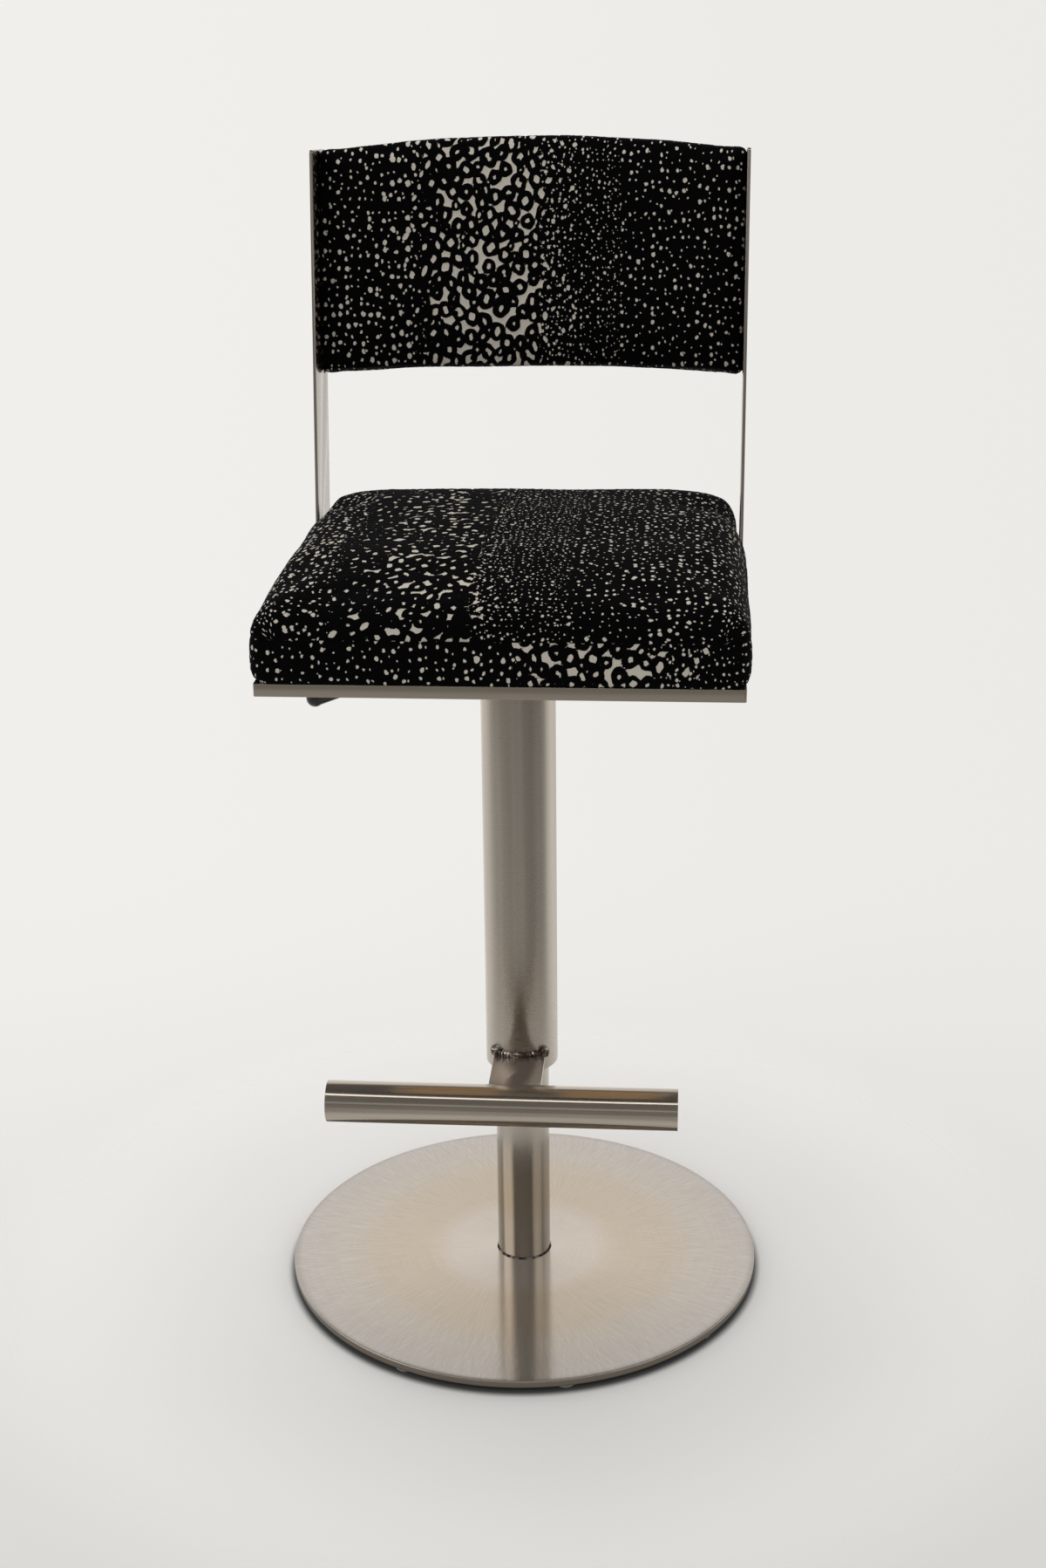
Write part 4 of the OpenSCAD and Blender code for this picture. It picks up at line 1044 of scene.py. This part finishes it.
# Distance over the top's skin from its middle: flat, and then down the round shoulder
def topMeasure(place, half, up, look):
    turns = np.linspace(0, math.pi / 2, 60)
    length = np.concatenate(([0.0], np.cumsum(np.hypot(np.diff(np.cos(turns)) * look["shoulder"],
                                                       np.diff(np.sin(turns)) * look["rise"]))))
    flat = half - look["shoulder"]
    out = np.abs(place) - flat
    turn = np.arctan2(np.maximum(up, 0.0) / look["rise"], np.maximum(out, 0.0) / look["shoulder"])
    return np.sign(place) * np.where(out > 0, flat + length[-1] - np.interp(turn, turns, length), np.abs(place))


def makeSeatPad(look):
    foot, seam, groove = look["foot"], look["seam"], look["grooveWidth"]
    skin = skinOf("seatPad", *seatRings(look))
    fine = remeshed(skin, look["voxel"])
    middle = (look["rear"] + look["front"]) / 2
    swell(fine, skin, look, lambda p: (p[:, 2] < foot + look["heldLow"])
          | ((np.abs(p[:, 0]) > look["between"] - look["heldBeside"])
             & (p[:, 1] > look["postFront"] - look["heldAhead"])))
    cutAcross(fine, [seam - groove, seam, seam + groove])
    places = pointsOf(fine)
    normals = pointsOf(fine, "vertex_normals", "vector")
    x, y, z = places[:, 0], places[:, 1] - middle, places[:, 2]  # x and z follow the moves below
    onSide = 1 - np.minimum(1.0, np.abs(normals[:, 2])) > 0.4
    inward = np.exp(-((z - seam) / groove) ** 2) * look["groove"] * onSide
    places -= normals * inward[:, None]
    places += normals * (lumpsAt(places, look) * (z > foot + look["lumpFrom"]))[:, None]
    places[:, 2] = np.maximum(z, foot)
    low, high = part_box("seat_board")
    overBoard = ((np.abs(x) < high.x) & (places[:, 1] > low.y) & (places[:, 1] < high.y)
                 & (z < foot + look["bite"] / 2))
    places[overBoard, 2] = foot + look["bite"]  # the board fills the pad's underside
    movePoints(fine, places)
    corners, faces = cornersOf(fine)
    x, y, z = x[corners], y[corners], z[corners]
    a, b = look["side"], (look["rear"] - look["front"]) / 2
    topU, topV = (topMeasure(place, half, z - seam, look) for place, half in ((x, a), (y, b)))
    faceX, faceY = faces[:, 0], faces[:, 1] - middle
    side = np.sign(faceX)
    around = np.where(np.abs(faceX) / a > np.abs(faceY) / b, side * (a + y + b),
                      np.where(faceY < 0, x, side * (2 * a + 2 * b) - x))
    up = z - (foot + seam) / 2
    top = drawPile(topU, topV, *look["topCloth"], look["stripe"], pileLook, look["seed"])
    band = drawPile(around, up, 4 * (a + b), look["bandCloth"], look["bandStripe"], pileLook, look["seed"] + 1)
    onTop = faces[:, 2] > seam
    u, v, hole, outline, stripe = (np.where(onTop, one, other) for one, other in (
        (topU, around), (topV, up), (top[0] + look["lie"], band[0]), (top[1] + look["lie"], band[1]),
        (look["stripe"], look["bandStripe"])))
    clothe(fine, corners, u, v, (hole, outline), stripe, look)
    piece = newPiece("seatPad", fine, "seat_cushion")


makeSeatPad(seatLook)
print("seat pad made")

# Back pad, in the leaned frame of the posts

backLook = {
    "half": 0.2232, "height": 0.232, "radius": 0.577, "lean": 8.5, "arch": 0.012, "corner": 0.005,
    "panel": 0.015, "frontEdge": 0.010, "frontMiddle": 0.024, "rearEdge": 0.005, "rearMiddle": 0.009,
    "setback": 0.043, "postFront": 0.1488, "frameLow": 0.716, "postTop": 0.449, "drop": 0.004, "shrink": 0.0015,
    "voxel": 0.0021, "clothVoxel": 0.007, "frames": 20, "pressure": 4.0, "cap": 0.004, "give": (1.0, 1.0, 0.4),
    "lump": 0.0014, "lumpScale": 14.0, "lumpShift": 5.0, "cloth": (0.47, 0.36), "stripe": -0.047,
    "heldEnds": 0.010, "lumpEnds": 0.004, "wrap": 0.04, "rearShift": (0.02, 0.01), "slack": 0.0002,
    "pile": 0.0008, "slope": 0.0009, "rough": 0.0004, "seed": 23,
}
backShares = [0.995, 0.98, 0.955, 0.92, 0.88, 0.82, 0.76, 0.68, 0.59, 0.48, 0.36, 0.24, 0.12, 0.05]


def dome(share, height):
    return height * (1 - share ** 4) ** (1 / 3)


def backPlace(look):
    lean = math.radians(look["lean"])
    panelY = look["setback"] + look["frontEdge"] + look["panel"] / 2
    bow = look["radius"] - math.sqrt(look["radius"] ** 2 - look["half"] ** 2)
    midZ = look["postTop"] - look["drop"] - look["height"] / 2 * math.cos(lean) + panelY * math.sin(lean)
    posts = Matrix.Translation((0.0, look["postFront"] + midZ * math.tan(lean), look["frameLow"] + midZ))
    posts = posts @ Matrix.Rotation(-lean, 4, "X")
    return posts, posts @ Matrix.Translation((0.0, panelY + bow, 0.0)), bow, panelY


postFrame, backFrame, backBow, panelMiddle = backPlace(backLook)


def bowAt(x, look):
    return look["radius"] - np.sqrt(look["radius"] ** 2 - x * x)


def frontAndRear(look):
    return -look["panel"] / 2 - look["frontEdge"], look["panel"] / 2 + look["rearEdge"]


def backRings(look):
    front, rear = frontAndRear(look)
    frontRise = look["frontMiddle"] - look["frontEdge"] - look["shrink"]
    rearRise = look["rearMiddle"] - look["rearEdge"] - look["shrink"]
    half, tall = look["half"] - look["slack"], look["height"] / 2 - look["shrink"]
    leanTan = math.tan(math.radians(look["lean"]))

    def ring(inset, y, share=1.0):
        a, b = half - inset, tall - inset
        points = []
        for x, z in roundedOutline(a * share, b * share, domeCorner(b, look["corner"], share)):
            rise = look["arch"] * (1 - (x / look["half"]) ** 2) * max(0.0, z / b)
            points.append((x, y - bowAt(x, look), z + rise + (backBow - bowAt(x, look)) * leanTan))
        return points

    rings = [ring(0.0015, front - dome(s, frontRise), s) for s in reversed(backShares)]
    rings += [ring(t[0], front + t[1] * (rear - front))
              for t in ((0.0015, 0.0), (0.0003, 0.14), (0.0, 0.4), (0.0, 0.7), (0.0003, 0.9), (0.0015, 1.0))]
    rings += [ring(0.0015, rear + dome(s, rearRise), s) for s in backShares]
    level = backBow * leanTan
    return rings, (0.0, front - frontRise, level), (0.0, rear + rearRise, level)


def makeBackPad(look):
    skin = skinOf("backPad", *backRings(look))
    fine = remeshed(skin, look["voxel"])
    swell(fine, skin, look, lambda p: np.abs(p[:, 0]) > look["half"] - look["heldEnds"])
    places = pointsOf(fine)
    normals = pointsOf(fine, "vertex_normals", "vector")
    places += normals * (lumpsAt(places, look) * (np.abs(places[:, 0]) < look["half"] - look["lumpEnds"]))[:, None]
    places[:, 0] = np.clip(places[:, 0], -look["half"], look["half"])
    movePoints(fine, places)
    corners, faces = cornersOf(fine)
    x, y, z = places[corners].T
    depth = y + bowAt(x, look)
    u = look["radius"] * np.arcsin(x / look["radius"])
    front, rear = frontAndRear(look)
    behind = faces[:, 1] + bowAt(faces[:, 0], look) > rear
    around = np.where(faces[:, 2] > 0, 1, -1) * np.clip(depth - front, 0.0, look["wrap"])
    shiftU, shiftV = look["rearShift"]
    u, v = np.where(behind, shiftU - u, u), np.where(behind, shiftV - z, z + around)
    drawn = drawPile(u, v, *look["cloth"], look["stripe"], pileLook, look["seed"])
    clothe(fine, corners, u, v, drawn, look["stripe"], look)
    fine.transform(backFrame)
    piece = newPiece("backPad", fine, "back_cushion")


makeBackPad(backLook)
print("back pad made")


# Countersunk screws through the posts into the panel's ends
def makeBackScrews(look):
    r, shank = look["backHead"], look["backShank"]
    profile = [(0.0, 0.00005), (r, 0.00005), (shank, r - shank), (shank, look["backReach"]), (0.0, look["backReach"])]
    shape = objectOf("shape", carved("flatHead", turned("flatHead", profile, 40), crossRecess(look, 0.0)))
    tree = screwTree("backScrewTree", shape, finishes["screw_steel"])
    pairs = []
    for side, seed in ((-1, 4), (1, 9)):
        pair = grown("pair", tree, [(s * look["backSpread"], 0.0, 0.0) for s in (-1, 1)], Seed=seed)
        place = Matrix.Translation((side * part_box("left_post")[1].x, panelMiddle + look["backAim"], 0.0))
        pair.transform(postFrame @ place @ Matrix.Rotation(-side * math.pi / 2, 4, "Y"))
        pairs.append(pair)
    bpy.data.objects.remove(shape)
    newPiece("backScrews", joined("backScrews", pairs), "back_screws")


makeBackScrews(screwLook)

# Floor, backdrop and light

stageLook = {
    "floor": (0.790, 0.783, 0.768), "floorZ": -0.006, "floorRadius": 0.7, "fadeFrom": 0.34, "fadeTo": 0.68,
    "under": (0.12, 0.12, 0.12), "underFrom": 0.2625, "underTo": 0.252,  # painted shadow: the floor's colour is darkened under and just round the disc
    # the camera's sweep: pale, with painted shade low down and on the right
    "low": rgb(218, 217, 213), "high": rgb(240, 239, 236), "right": rgb(150, 149, 144),
    "soft": 0.75,  # light from all round on matt surfaces
    # what the steel mirrors, as shares of 1.5: round the room from behind to in front, and up from the floor
    "round": [(0.0, 0.64), (0.30, 0.62), (0.50, 0.42), (0.62, 0.33), (0.78, 0.29), (1.0, 0.27)],
    "upFront": [(0.0, 0.62), (0.34, 0.60), (0.39, 0.54), (0.42, 0.34), (0.49, 0.36), (0.60, 0.28), (0.635, 0.70),
                (0.66, 0.70), (0.70, 0.26), (0.86, 0.22), (0.93, 0.10), (0.97, 0.07), (1.0, 0.06)],
    "upBack": [(0.0, 0.56), (0.5, 0.62), (0.68, 0.63), (0.785, 0.56), (0.825, 0.18), (0.88, 0.06), (1.0, 0.04)],
    "gain": 2.75, "dark": (0.02, 0.02, 0.02),
    # lamps that the steel alone mirrors: direction, cosines of their rim and of their full light, colour
    "boxes": [((-0.78, -0.25, 0.57), 0.88, 0.97, (1.5, 1.46, 1.40)),
              ((0.80, -0.30, 0.52), 0.90, 0.98, (0.8, 0.78, 0.75))],
    "stripAt": 0.845, "stripHalf": 0.022, "strip": (2.6, 2.54, 2.45),
}


def makeFloor(look):
    f = Finish("floorPaint")
    x, y = f.parts(f.place)[:2]
    radius = f.maths("SQRT", x * x + y * y)
    # the floor's colour, with a painted contact shadow under the disc's rim
    tone = f.mix(f.step(radius, look["underFrom"], look["underTo"]), look["floor"], look["under"])
    paint = f.node("ShaderNodeBsdfDiffuse", {"Color": tone})
    clear = f.node("ShaderNodeBsdfTransparent")
    fade = f.step(radius, look["fadeFrom"], look["fadeTo"])
    both = f.node("ShaderNodeMixShader", {0: fade, 1: paint, 2: clear})
    f.node("ShaderNodeOutputMaterial", {"Surface": both})
    bm = bmesh.new()
    bmesh.ops.create_circle(bm, cap_ends=True, segments=96, radius=look["floorRadius"])
    mesh = meshOf("floor", bm, smooth=False)
    mesh.transform(Matrix.Translation((0.0, 0.0, look["floorZ"])))
    mesh.materials.append(f.material)
    floor = objectOf("floor", mesh)


makeFloor(stageLook)


def makeWorld(look):
    world = bpy.data.worlds.new("studio")
    world.use_nodes = True
    scene.world = world
    s = Sheet(world.node_tree)
    s.tree.nodes.clear()
    x, y, z = s.parts(s.node("ShaderNodeTexCoord", output="Generated"))
    # what the camera sees: a pale sweep with painted shade, darker low down and a little darker on the right
    sweep = s.mix(s.step(z, -0.66, -0.36), look["low"], look["high"])
    sweep = s.mix(s.step(x, -0.30, 0.20) * 0.075, sweep, look["right"])
    # what the steel mirrors: the pale sweep behind, a dimmer room in front, a dark ceiling with one strip of light
    level = s.maths("SQRT", x * x + y * y) + 0.0001
    front = 0.5 - y / level * 0.5
    around, upFront, upBack = ([(at, (tone, tone * 0.985, tone * 0.965)) for at, tone in look[key]]
                               for key in ("round", "upFront", "upBack"))
    height = z * 0.5 + 0.5
    frontness = s.step(front, 0.36, 0.62)
    tall = s.mix(frontness, s.ramp(height, upBack), s.ramp(height, upFront))
    lit = s.mix(1.0, s.ramp(front, around), tall, "MULTIPLY")
    bands = s.noise(s.vector(s.maths("ARCTAN2", x, y * -1.0) * 3.4, 0.0, 4.0), 1.0, 2.0, 0.6)
    for shade in (s.step(x, 0.05, 0.55) * frontness * 0.34, s.step(bands, 0.35, 0.65) * 0.16,
                  s.step(x, 0.0, 0.12) * s.step(y, 0.7, 0.95) * 0.26):
        lit = s.mix(shade, lit, look["dark"])
    lit = s.mix(1.0, lit, (look["gain"],) * 3, "MULTIPLY")
    lamps = [(s.step(x * cx + y * cy + z * cz, rim, full), tones) for (cx, cy, cz), rim, full, tones in look["boxes"]]
    strip = s.step(abs(z - look["stripAt"]), look["stripHalf"] * 1.5, look["stripHalf"]) * s.step(y, -0.1, -0.3)
    for share, tones in lamps + [(strip, look["strip"])]:
        lit = s.mix(1.0, lit, s.mix(share, (0.0, 0.0, 0.0), tones), "ADD")
    path = s.node("ShaderNodeLightPath", output="Is Camera Ray")
    seen = s.mix(path.out("Is Diffuse Ray"), lit, (look["soft"], look["soft"], look["soft"] * 0.99))
    seen = s.mix(path, seen, sweep)
    light = s.node("ShaderNodeBackground", {"Color": seen, "Strength": 1.0})
    s.node("ShaderNodeOutputWorld", {"Surface": light})


makeWorld(stageLook)


# place, aim, side and power of each lamp
lampLook = {
    "overhead": ((-0.2, 0.6, 2.9), (0.0, 0.0, 0.3), 1.8, 26.0),
    "front": ((-1.2, -2.4, 2.2), (0.0, 0.0, 0.8), 0.9, 5.0),
}
for name, (place, aim, side, power) in lampLook.items():
    data = bpy.data.lights.new(name, "AREA")
    data.shape = "RECTANGLE"
    data.size = data.size_y = side
    data.energy = power
    lamp = objectOf(name, data)
    lamp.location = place
    lamp.rotation_mode = "QUATERNION"
    lamp.rotation_quaternion = (Vector(aim) - Vector(place)).to_track_quat("-Z", "Y")
    lamp.visible_glossy = False

scene.view_settings.view_transform = "Standard"
print("stage set")
